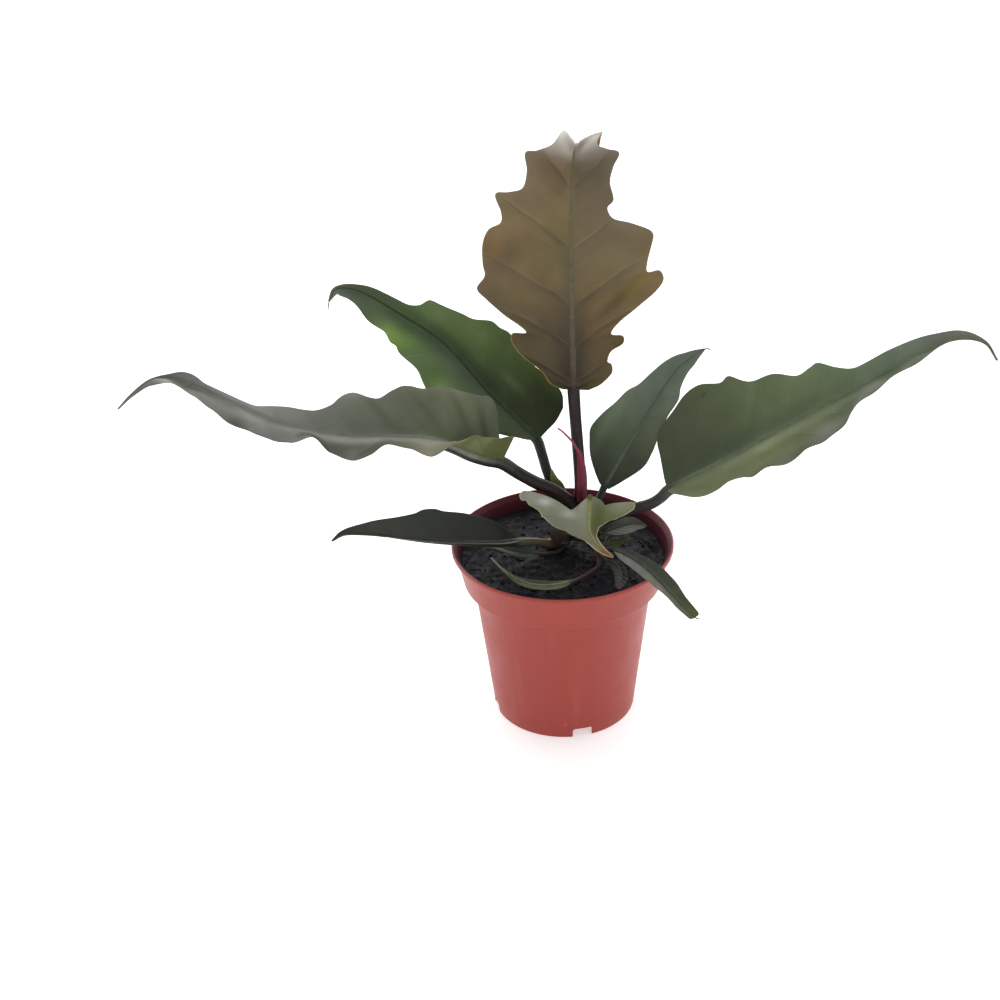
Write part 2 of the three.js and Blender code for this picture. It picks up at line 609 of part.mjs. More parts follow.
      quad(under + j, j, j + 1, under + j + 1);
      const end = rows * width + j;
      quad(under + end, under + end + 1, end + 1, end);
    }
    const points = [...top, ...bottom];
    return new Manifold(new SolidMesh({
      numProp: 3,
      vertProperties: new Float32Array(points.flatMap((p) => [p.x, p.y, p.z])),
      triVerts: new Uint32Array(triangles),
    }));
  }

  // The stalk runs into the raised midrib under the blade
  petiolePath() {
    const { petiole, radius } = this.spec;
    const ends = [0, 0.6 * radius + 2].map((u) => {
      const { centre, normal } = this.frame(u);
      return centre.addScaledVector(normal, -(radius - 0.3));
    });
    return new THREE.CatmullRomCurve3([...petiole.map(vector), ...ends], false, 'catmullrom', 0.5);
  }
}

function largestPiece(solid) {
  const pieces = solid.decompose();
  return pieces.reduce((best, piece) => (piece.volume() > best.volume() ? piece : best));
}

const group = new THREE.Group();
group.add(makeMesh('pot', toGeometry(makePot()), 0xa3564f, 0.45));

let soil = makeSoil();
const taken = [];
for (const [name, { path, radius, color }] of Object.entries(STEMS)) {
  const solid = makeTube(path, radius);
  const low = [path[0][0], path[0][1], path[0][2] - GAP];
  const high = vector(path.at(-1)).add(vector(path.at(-1)).sub(vector(path.at(-2))).setLength(GAP));
  const clear = makeTube([low, ...path.slice(0, -1), high.toArray()], radius + GAP);
  soil = soil.subtract(clear);
  taken.push(clear);
  group.add(makeMesh(name, toGeometry(solid), color, 0.7));
}
group.add(makeMesh('soil', toGeometry(soil), 0x232126, 0.95));

for (const [name, spec] of Object.entries(LEAVES)) {
  const blade = new Blade(spec);
  const path = blade.petiolePath();
  let leaf = blade.makeSolid().add(makeTube(path, spec.radius));
  for (const solid of taken) leaf = leaf.subtract(solid);
  taken.push(makeTube(path, spec.radius + GAP));
  group.add(makeMesh(name, toGeometry(largestPiece(leaf)), spec.color, 0.4));
}

export default group;
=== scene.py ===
import math
import random

import bmesh
import bpy
import numpy as np
from mathutils import Matrix, Vector, noise


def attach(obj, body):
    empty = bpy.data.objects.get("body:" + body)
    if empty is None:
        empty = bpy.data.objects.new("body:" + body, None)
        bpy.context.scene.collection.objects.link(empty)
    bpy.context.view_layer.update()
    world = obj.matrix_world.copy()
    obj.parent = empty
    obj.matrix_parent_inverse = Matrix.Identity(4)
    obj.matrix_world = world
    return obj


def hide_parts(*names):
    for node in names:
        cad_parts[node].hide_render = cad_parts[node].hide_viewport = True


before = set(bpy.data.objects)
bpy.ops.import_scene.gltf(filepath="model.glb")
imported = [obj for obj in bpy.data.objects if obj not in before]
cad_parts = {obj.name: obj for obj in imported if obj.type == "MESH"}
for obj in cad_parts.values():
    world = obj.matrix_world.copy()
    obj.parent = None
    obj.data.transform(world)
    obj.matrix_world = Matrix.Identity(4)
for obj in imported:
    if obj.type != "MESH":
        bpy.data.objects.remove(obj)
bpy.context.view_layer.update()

# A young philodendron with toothed, long-tipped leaves in a plastic nursery pot.
# Sizes are in millimetres; every mesh is brought to metres when its piece is placed.


# ---------------------------------------------------------------------------------------
# Pot: a round plastic nursery pot, injection moulded in satin terracotta red. A stepped
# band and a rolled lip stiffen its top; the foot ring has four notches and the raised
# floor has drain holes. It stands loose on the floor and carries everything else.
# ---------------------------------------------------------------------------------------
MM = 0.001
POT_PROFILE = [
    (38.1, 0), (39.3, 0), (40.1, 7.4), (48.7, 80.2), (53.5, 80.4), (54, 81), (58, 99.4),
    (60, 99.7), (60, 102), (59.1, 102), (56.8, 99.4), (52.8, 82.2), (48, 81.8), (47.5, 80.2),
    (38.9, 8.6), (37.7, 7.4), (0, 7.4), (0, 6), (37.1, 6), (38.1, 5),
]
POT_STEPS = 160
POT_ROUNDING = 0.4
NOTCH = (12, 11, 11.2)
NOTCH_ROUNDING = 1.6
NOTCH_RADIUS = 39.3
NOTCH_ANGLES = (-78, 12, 102, 192)
DRAIN_RADIUS = 3.5
DRAIN_CIRCLE = 24
DRAIN_HEIGHT = 7
DRAIN_DEPTH = 8
DRAINS = 6
SHARP_ANGLE = 0.7
WELD = 1e-4


def welded(bm):
    """Merge the points that meet and turn every face outwards."""
    bmesh.ops.remove_doubles(bm, verts=bm.verts, dist=WELD)
    bmesh.ops.recalc_face_normals(bm, faces=bm.faces)
    return bm


def turned(profile, steps, closed=False):
    """A bmesh turned from a profile of (radius, height) about the pot's axis."""
    bm = bmesh.new()
    verts = [bm.verts.new((radius, 0, height)) for radius, height in profile]
    edges = [bm.edges.new(pair) for pair in zip(verts, verts[1:])]
    if closed:
        edges.append(bm.edges.new((verts[-1], verts[0])))
    bmesh.ops.spin(bm, geom=verts + edges, cent=(0, 0, 0), axis=(0, 0, 1), dvec=(0, 0, 0),
                   angle=2 * math.pi, steps=steps, use_merge=True, use_duplicate=False)
    return welded(bm)


def mesh_object(bm, name):
    """A smooth-shaded object at the origin, its millimetres brought to metres."""
    bmesh.ops.scale(bm, vec=(MM, MM, MM), verts=bm.verts)
    mesh = bpy.data.meshes.new(name)
    for face in bm.faces:
        face.smooth = True
    bm.to_mesh(mesh)
    bm.free()
    piece = bpy.data.objects.new(name, mesh)
    bpy.context.scene.collection.objects.link(piece)
    return piece


def place_piece(piece, finish, node):
    """Give a piece its finish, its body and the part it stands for."""
    piece.data.materials.clear()
    piece.data.materials.append(finish)
    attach(piece, "root")
    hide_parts(node)


def cut_away(piece, cutters):
    """Cut one bmesh of cutters out of a piece for good."""
    tool = mesh_object(cutters, piece.name + "_cut")
    cut = piece.modifiers.new("cut", "BOOLEAN")
    cut.object = tool
    cut.operation = "DIFFERENCE"
    cut.solver = "EXACT"
    graph = bpy.context.evaluated_depsgraph_get()
    mesh = bpy.data.meshes.new_from_object(piece.evaluated_get(graph))
    piece.modifiers.clear()
    piece.data = mesh
    bpy.data.objects.remove(tool)


def srgb(code):
    """Linear red, green and blue of a six-digit colour code."""
    parts = [int(code[k:k + 2], 16) / 255 for k in (0, 2, 4)]
    return tuple(p / 12.92 if p <= 0.04045 else ((p + 0.055) / 1.055) ** 2.4 for p in parts)


class Finish:
    """A node material, with short names for the nodes that it is made of."""

    def __init__(self, name, **sockets):
        self.material = bpy.data.materials.new(name)
        self.material.use_nodes = True
        self.tree = self.material.node_tree
        self.shader = self.tree.nodes["Principled BSDF"]
        for socket, value in sockets.items():
            self.shader.inputs[socket.replace("_", " ")].default_value = value
        self.place = self.add("TexCoord").outputs["Object"]

    def add(self, kind, settings=None, **inputs):
        made = self.tree.nodes.new("ShaderNode" + kind)
        for name, value in (settings or {}).items():
            setattr(made, name, value)
        for name, value in inputs.items():
            self.feed(made.inputs[name.replace("_", " ")], value)
        return made

    def feed(self, socket, value):
        if isinstance(value, bpy.types.NodeSocket):
            self.tree.links.new(value, socket)
        else:
            socket.default_value = value

    def attribute(self, name, output="Fac"):
        return self.add("Attribute", {"attribute_name": name}).outputs[output]

    def stretch(self, scale):
        return self.add("Mapping", Vector=self.place, Scale=scale).outputs["Vector"]

    def noise(self, scale, detail=3.0, vector=None, rough=0.55):
        made = self.add("TexNoise", Vector=vector or self.place, Scale=scale, Detail=detail,
                        Roughness=rough)
        return made.outputs["Fac"]

    def math(self, operation, first, second=0.0, third=0.0):
        made = self.add("Math", {"operation": operation})
        for socket, value in zip(made.inputs, (first, second, third)):
            self.feed(socket, value)
        return made.outputs["Value"]

    def span(self, value, low, high, out_low=0.0, out_high=1.0, smooth=True):
        settings = {"interpolation_type": "SMOOTHSTEP" if smooth else "LINEAR"}
        made = self.add("MapRange", settings, Value=value, From_Min=low, From_Max=high,
                        To_Min=out_low, To_Max=out_high)
        return made.outputs["Result"]

    def flecks(self, scale, channel, rare, near, far):
        """Small round spots, one in each of the few cells that the channel picks."""
        cells = self.add("TexVoronoi", Vector=self.place, Scale=scale)
        colour = self.add("SeparateColor", Color=cells.outputs["Color"])
        picked = self.span(colour.outputs[channel], rare, rare + 0.02)
        spot = self.span(cells.outputs["Distance"], near, far, 1, 0)
        return self.math("MULTIPLY", spot, picked)

    def mix(self, share, first, second, blend="MIX"):
        made = self.tree.nodes.new("ShaderNodeMix")
        made.data_type = "RGBA"
        made.blend_type = blend
        self.feed(made.inputs["Factor"], share)
        colours = [s for s in made.inputs if s.type == "RGBA"]
        for socket, value in zip(colours, (first, second)):
            self.feed(socket, (*value, 1.0) if isinstance(value, tuple) else value)
        return [s for s in made.outputs if s.type == "RGBA"][0]

    def bump(self, height, distance, strength=1.0):
        made = self.add("Bump", Height=height, Distance=distance, Strength=strength)
        self.feed(self.shader.inputs["Normal"], made.outputs["Normal"])

    def wear(self, **linked):
        for name, value in linked.items():
            self.feed(self.shader.inputs[name.replace("_", " ")], value)
        return self.material


def pot_finish():
    """Satin plastic with a fine moulded skin, dusty scuffs and specks of soil, and an inner wall
    painted dark for the shade inside the pot.
    """
    pot = Finish("pot_plastic_satin")
    cloud = pot.noise(22, 4)
    tone = pot.mix(cloud, srgb("9b3f37"), srgb("a4453c"))
    streaks = pot.noise(90, 3, pot.stretch((1, 1, 0.08)))
    tone = pot.mix(pot.span(streaks, 0.5, 0.8, 0, 0.22), tone, srgb("ad5f55"))
    scuffs = pot.span(pot.noise(160, 5), 0.62, 0.72, 0, 0.35)
    height = pot.add("SeparateXYZ", Vector=pot.place).outputs["Z"]
    low = pot.span(height, 0.004, 0.03, 1, 0.12)
    tone = pot.mix(pot.math("MULTIPLY", scuffs, low), tone, srgb("c4837a"))
    dirt = pot.flecks(95.0, "Red", 0.86, 0.03, 0.06)
    tone = pot.mix(pot.math("MULTIPLY", dirt, 0.8), tone, srgb("3a211c"))
    tone = pot.mix(pot.flecks(60.0, "Green", 0.93, 0.015, 0.03), tone, srgb("f0d8d2"))
    # Painted shade: the inner wall is painted dark maroon, darkest down by the soil, for the
    # shade inside the pot, with some damp in it too.
    inward = pot.add("VectorMath", {"operation": "DOT_PRODUCT"})
    pot.feed(inward.inputs[0], pot.stretch((1, 1, 0)))
    pot.feed(inward.inputs[1], pot.add("NewGeometry").outputs["Normal"])
    inner = pot.math("MULTIPLY", pot.span(inward.outputs["Value"], -0.02, -0.005, 1, 0),
                     pot.span(height, 0.05, 0.07))
    inner_shade_and_damp = pot.mix(pot.span(pot.math("MULTIPLY_ADD", cloud, 0.006, height), 0.094, 0.104),
                   srgb("2c1a20"), srgb("5c2630"))
    tone = pot.mix(inner, tone, inner_shade_and_damp)
    grain = pot.noise(1500, 2)
    pot.bump(pot.math("MULTIPLY_ADD", cloud, 3.0, grain), 0.00002)
    shine = pot.span(pot.noise(45, 4), 0.35, 0.7, 0.36, 0.46)
    return pot.wear(Base_Color=tone, Roughness=pot.math("ADD", shine, scuffs),
                    Specular_IOR_Level=pot.span(inner, 0, 1, 0.22, 0.1))


pot = turned(POT_PROFILE, POT_STEPS, closed=True)
rings = [edge for edge in pot.edges
         if abs(edge.verts[0].co.z - edge.verts[1].co.z) < 1e-4
         and abs(edge.verts[0].co.xy.length - edge.verts[1].co.xy.length) < 1e-3
         and edge.verts[0].co.xy.length > 1 and edge.calc_face_angle(0) > 0.3]
bmesh.ops.bevel(pot, geom=rings, offset=POT_ROUNDING, offset_type="OFFSET", segments=3,
                profile=0.5, affect="EDGES", clamp_overlap=True, material=-1)
pot_piece = mesh_object(pot, "nursery_pot")

cutters = bmesh.new()
for angle in NOTCH_ANGLES:
    turn = Matrix.Rotation(math.radians(angle), 4, "Z")
    box = bmesh.ops.create_cube(cutters, size=1.0)["verts"]
    bmesh.ops.scale(cutters, vec=NOTCH, verts=box)
    crown = [edge for edge in cutters.edges if all(v in box and v.co.z > 1 for v in edge.verts)
             and abs(edge.verts[0].co.y - edge.verts[1].co.y) < 1e-4]
    rounded = bmesh.ops.bevel(cutters, geom=crown, offset=NOTCH_ROUNDING, offset_type="OFFSET",
                              segments=5, profile=0.5, affect="EDGES", material=-1)
    box = {v for v in box if v.is_valid} | set(rounded["verts"])
    bmesh.ops.transform(cutters, matrix=turn @ Matrix.Translation((NOTCH_RADIUS, 0, 0)),
                        verts=list(box))
for k in range(DRAINS):
    angle = 2 * math.pi * k / DRAINS
    spot = Matrix.Translation((DRAIN_CIRCLE * math.cos(angle), DRAIN_CIRCLE * math.sin(angle),
                               DRAIN_HEIGHT))
    bmesh.ops.create_cone(cutters, cap_ends=True, cap_tris=False, segments=32, matrix=spot,
                          radius1=DRAIN_RADIUS, radius2=DRAIN_RADIUS, depth=DRAIN_DEPTH)
bmesh.ops.recalc_face_normals(cutters, faces=cutters.faces)
cut_away(pot_piece, cutters)
smooth = bmesh.new()
smooth.from_mesh(pot_piece.data)
for face in smooth.faces:
    face.smooth = True
for edge in smooth.edges:
    edge.smooth = edge.calc_face_angle(0) < SHARP_ANGLE
smooth.to_mesh(pot_piece.data)
smooth.free()
place_piece(pot_piece, pot_finish(), "pot")


# ---------------------------------------------------------------------------------------
# Soil: dark peaty potting soil that fills the pot to just under its band's top. It is
# pressed in round the roots and stays loose on top, with crumbs, wood bits and dry
# roots lying on it.
# ---------------------------------------------------------------------------------------
SOIL_TOP = 93.2
SOIL_EDGE = 55.1
SOIL_SIDE = [(0, 7.7), (37.4, 7.7), (38.6, 8.9), (47.2, 80.5), (47.7, 82.1), (52.5, 82.5)]
SOIL_RINGS = 84
SOIL_STEPS = 200
CRUMBS = 600
CRUMB_SIZES = (0.3, 0.4, 0.5, 0.6, 0.8, 1.1)
FAIR_CRUMBS = 0.006
WOOD_BITS = 7
WOOD_BITS_AT = (1, -52.6)
ROOTS = 26
ROOT_STEP = 3.2
ROOT_SIDES = 6


def soil_height(x, y):
    """The lie of the soil as it was filled in, without its crumbs."""
    lumps = 0.5 * math.sin(x / 5.3 + 1) * math.cos(y / 6.1) + 0.35 * math.sin(x / 2.9 - y / 3.7)
    return SOIL_TOP - 0.6 + lumps + 0.8 * math.exp(-(x * x + y * y) / 700)


def soil_surface(x, y):
    """The top of the soil, crumbly at three sizes."""
    coarse = noise.noise(Vector((x / 5, y / 5, 3.1)))
    middle = abs(noise.noise(Vector((x / 2.1, y / 2.1, 7.7))))
    fine = noise.noise(Vector((x / 0.8, y / 0.8, 1.9)))
    return soil_height(x, y) + 0.9 * coarse + 0.6 * middle + 0.12 * fine - 0.25


def soil_finish():
    """Damp peat: near-black, with greyer clods, pale flecks and a dull broken surface."""
    soil = Finish("potting_soil_peat", Specular_IOR_Level=0.25)
    tone = soil.mix(soil.span(soil.noise(180, 5), 0.35, 0.75), srgb("17151a"), srgb("26232a"))
    tone = soil.mix(soil.span(soil.noise(45, 3), 0.35, 0.65, 0.0, 0.5), tone, srgb("0b0a0d"))
    bits = soil.flecks(420.0, "Red", 0.93, 0.2, 0.34)
    tone = soil.mix(soil.math("MULTIPLY", bits, 0.2), tone, srgb("5c5048"))
    tone = soil.mix(soil.attribute("pale"), tone, srgb("857348"))
    soil.bump(soil.noise(900, 6, rough=0.7), 0.0003)
    return soil.wear(Base_Color=tone, Roughness=soil.span(soil.noise(300, 2), 0.3, 0.7, 0.7, 1.0))


peat = soil_finish()
rings = [(SOIL_EDGE * (1 - k / SOIL_RINGS), SOIL_TOP) for k in range(SOIL_RINGS + 1)]
soil = turned(SOIL_SIDE + rings, SOIL_STEPS)
for vert in soil.verts:
    if vert.co.z > SOIL_TOP - 0.01:
        vert.co.z = soil_surface(vert.co.x, vert.co.y)
soil.verts.layers.float.new("pale")
place_piece(mesh_object(soil, "soil_fill"), peat, "soil")

random.seed(11)
crumbs = bmesh.new()
pale = crumbs.verts.layers.float.new("pale")
for k in range(CRUMBS):
    angle = random.uniform(0, 2 * math.pi)
    out = (SOIL_EDGE - 1.2) * math.sqrt(random.random())
    x, y = out * math.cos(angle), out * math.sin(angle)
    size = random.choice(CRUMB_SIZES)
    fair = 0.6 if random.random() < FAIR_CRUMBS else random.choice((0, 0, 0, 0.04, 0.08))
    if k < WOOD_BITS:
        x = WOOD_BITS_AT[0] + 1.6 * random.uniform(-2, 2)
        y = WOOD_BITS_AT[1] + random.uniform(-1, 1)
        size, fair = 0.8, 0.9
    flat = Matrix.Diagonal((random.uniform(0.7, 1.5), random.uniform(0.7, 1.3),
                            random.uniform(0.45, 0.9), 1))
    turn = Matrix.Rotation(random.uniform(0, 6.3), 4, "Z") @ Matrix.Rotation(
        random.uniform(-0.5, 0.5), 4, "X")
    spot = Matrix.Translation((x, y, soil_surface(x, y) + 0.25 * size))
    made = bmesh.ops.create_icosphere(crumbs, subdivisions=1, radius=size,
                                      matrix=spot @ turn @ flat)["verts"]
    for vert in made:
        vert[pale] = fair
        vert.co += Vector([random.uniform(-0.22, 0.22) * size for _ in range(3)])
place_piece(mesh_object(crumbs, "soil_crumbs"), peat, "soil")


def curve_through(points, count):
    """Catmull-Rom curve through points of any dimension, as a closely spaced array."""
    points = np.asarray(points, float)
    ends = np.vstack([2 * points[0] - points[1], points, 2 * points[-1] - points[-2]])
    place = np.linspace(0, len(points) - 1, count)
    first = np.minimum(place.astype(int), len(points) - 2)
    t = (place - first)[:, None]
    a, b, c, d = (ends[first + k] for k in range(4))
    return 0.5 * (2 * b + (c - a) * t + (2 * a - 5 * b + 4 * c - d) * t ** 2
                  + (3 * b - a - 3 * c + d) * t ** 3)


def unit(vectors):
    """The same directions, each brought to length one."""
    return vectors / np.linalg.norm(vectors, axis=-1, keepdims=True)


def shaped_grid(bm, points, **marks):
    """Add a grid moved onto rows of points, with each mark as an attribute of its points."""
    rows, columns = points.shape[:2]
    bmesh.ops.create_grid(bm, x_segments=columns - 1, y_segments=rows - 1, size=1.0)
    layers = []
    for name, values in marks.items():
        kind = bm.verts.layers.float_color if values.ndim == 3 else bm.verts.layers.float
        layer = kind.get(name) or kind.new(name)
        layers.append((layer, values.reshape(-1, values.shape[2]).tolist() if values.ndim == 3
                       else values.ravel().tolist()))
    bm.verts.ensure_lookup_table()
    fresh = bm.verts[len(bm.verts) - rows * columns:]
    for k, (vert, place) in enumerate(zip(fresh, points.reshape(-1, 3).tolist())):
        vert.co = place
        for layer, values in layers:
            vert[layer] = values[k]
    return bm


def tube_rings(path, radii, sides):
    """Rings of points round a path, without twist, closed over at both ends."""
    path = np.asarray(path, float)
    heading = unit(np.gradient(path, axis=0))
    across = np.cross(heading[0], (0.1, -0.3, 1.0))
    rings = []
    for k, way in enumerate(heading):
        across = unit(across - way * across.dot(way))
        lift = np.cross(across, way)
        angle = np.linspace(0, 2 * math.pi, sides + 1)
        ring = np.outer(np.sin(angle), across) + np.outer(np.cos(angle), lift)
        rings.append(path[k] + ring * radii[k])
    closed = [np.repeat(path[:1], sides + 1, axis=0)] + rings + [
        np.repeat(path[-1:], sides + 1, axis=0)]
    return np.array(closed)


random.seed(5)
fibre = Finish("root_fibre", Specular_IOR_Level=0.3, Roughness=0.75)
fibre_tone = fibre.mix(fibre.noise(260, 3), srgb("2e2927"), srgb("4c443d"))
fibre_tone = fibre.mix(fibre.attribute("pale"), fibre_tone, srgb("97896c"))
fibre.bump(fibre.noise(1800, 2), 0.00005)
fibre.wear(Base_Color=fibre_tone)
roots = bmesh.new()
strands = [([(9, -52.5), (13, -51.2), (17, -51.6), (21, -50.2), (24, -50.9)], 0.34, 0.8)]
for k in range(ROOTS):
    angle, out = random.uniform(0, 2 * math.pi), random.uniform(12, 51)
    x, y = out * math.cos(angle), out * math.sin(angle)
    way = random.uniform(0, 2 * math.pi)
    line = [(x, y)]
    for _ in range(random.randint(3, 6)):
        way += random.uniform(-0.9, 0.9)
        x, y = x + ROOT_STEP * math.cos(way), y + ROOT_STEP * math.sin(way)
        line.append((x, y))
    strands.append((line, random.uniform(0.1, 0.22), random.choice((0, 0, 0.1, 0.3))))
for line, thick, fair in strands:
    inside = [p for p in line if math.hypot(*p) < SOIL_EDGE - 1.0]
    if len(inside) < 3:
        continue
    path = [(x, y, soil_surface(x, y) + random.uniform(0.2, 0.9)) for x, y in inside]
    path = curve_through(path, 4 * len(path))
    swell = thick * (1 - 0.6 * np.linspace(0, 1, len(path)) ** 2)
    points = tube_rings(path, swell, ROOT_SIDES)
    shaped_grid(roots, points, pale=np.full(points.shape[:2], fair))
place_piece(mesh_object(welded(roots), "dry_roots"), fibre.material, "soil")


# ---------------------------------------------------------------------------------------
# Stems: the short woody crown of the main plant and a thin shoot beside it. Both are
# rooted in the soil, ringed by old leaf scars, and every leaf stalk clasps one of them.
# ---------------------------------------------------------------------------------------
STEMS = {
    "stem": dict(path=[(-1, 11, 74), (-0.5, 11, 96), (3, 12, 108), (7, 12, 118)], radius=6.0,
                 scars=7),
    "shoot": dict(path=[(19, -5, 80), (19, -6, 92), (19.5, -6.5, 99)], radius=3.0, scars=4),
}
STEM_RINGS = 90
STEM_SIDES = 40


def stem_finish():
    """Corky purple-brown bark with paler rings where leaves have dropped."""
    bark = Finish("stem_bark", Specular_IOR_Level=0.35)
    tone = bark.mix(bark.noise(240, 5), srgb("302629"), srgb("564647"))
    tone = bark.mix(bark.span(bark.attribute("scar"), 0.6, 1.0, 0, 0.6), tone, srgb("84705c"))
    ridges = bark.noise(500, 4, bark.stretch((1, 1, 0.3)))
    bark.bump(ridges, 0.0004)
    return bark.wear(Base_Color=tone, Roughness=bark.span(ridges, 0.3, 0.7, 0.5, 0.8))


bark = stem_finish()
for name, stem in STEMS.items():
    path = curve_through(stem["path"], STEM_RINGS)
    along = np.linspace(0, 1, STEM_RINGS)
    scar = np.exp(-((along * stem["scars"]) % 1 - 0.5) ** 2 / 0.02)
    radii = stem["radius"] * (0.93 + 0.05 * scar + 0.02 * np.sin(along * 31))
    radii[-4:] *= (0.97, 0.9, 0.75, 0.45)
    points = tube_rings(path, radii, STEM_SIDES)
    marks = np.concatenate([scar[:1], scar, scar[-1:]])[:, None] * np.ones((1, STEM_SIDES + 1))
    tube = welded(shaped_grid(bmesh.new(), points, scar=marks))
    place_piece(mesh_object(tube, name + "_bark"), bark, name)


# ---------------------------------------------------------------------------------------
# Caramel leaf: the newest large leaf, upright on a straight dark stalk, with toothed
# margins and a tip that bends over backwards. A blade is a thin leathery sheet, folded
# at a raised midrib, which is the stalk running on under it; side veins crease it.
# ---------------------------------------------------------------------------------------
MIDRIB_STEPS = 600
MARGIN_STEPS = 16
FOOT_STEPS = 200
ROW_SEARCH = 3000
COLUMN_CROWDING = 1.12
SHEET_THICK = 0.55
RIM_SHARE = 0.012
CREASE = 1.2
TIP_WIDTH = 0.5
ROW_SWEEP = 0.6
ROW_EVENING = 0.25
VEIN_PLACES = np.arange(0.08, 1, 0.13)
VEIN_SPREAD = 0.42
PLEAT_FALL, PLEAT_RISE = 0.78, 0.22
STALK_RINGS = 150
STALK_SIDES = 24
RIB_POINTS = 26
RIB_REACH = 0.985
RIB_END = 0.28
RIB_END_PROUD = 0.32


def eased(values, along):
    """A short list of values spread evenly along the leaf, blended softly."""
    values = np.atleast_2d(np.asarray(values, float).T).T
    if len(values) == 1:
        return np.repeat(values, along.size, axis=0).reshape(*along.shape, -1)
    place = along.ravel() * (len(values) - 1)
    first = np.minimum(place.astype(int), len(values) - 2)
    share = place - first
    share = (share * share * (3 - 2 * share))[:, None]
    return (values[first] * (1 - share) + values[first + 1] * share).reshape(*along.shape, -1)


def flat_curve(points, divisions):
    """Curve through points of the flat leaf that starts and ends at rest."""
    points = np.asarray(points, float)
    ends = np.vstack([points[:1], points, points[-1:]])
    place = np.linspace(0, len(points) - 1, divisions + 1)
    first = np.minimum(place.astype(int), len(points) - 2)
    t = (place - first)[:, None]
    a, b, c, d = (ends[first + k] for k in range(4))
    slope, leave = 0.5 * (c - a), 0.5 * (d - b)
    return (b + slope * t + (3 * c - 3 * b - 2 * slope - leave) * t ** 2
            + (2 * b - 2 * c + slope + leave) * t ** 3)


def runs_of(points):
    """How far along a line of points each of them lies."""
    return np.concatenate([[0], np.cumsum(np.linalg.norm(np.diff(points, axis=0), axis=1))])


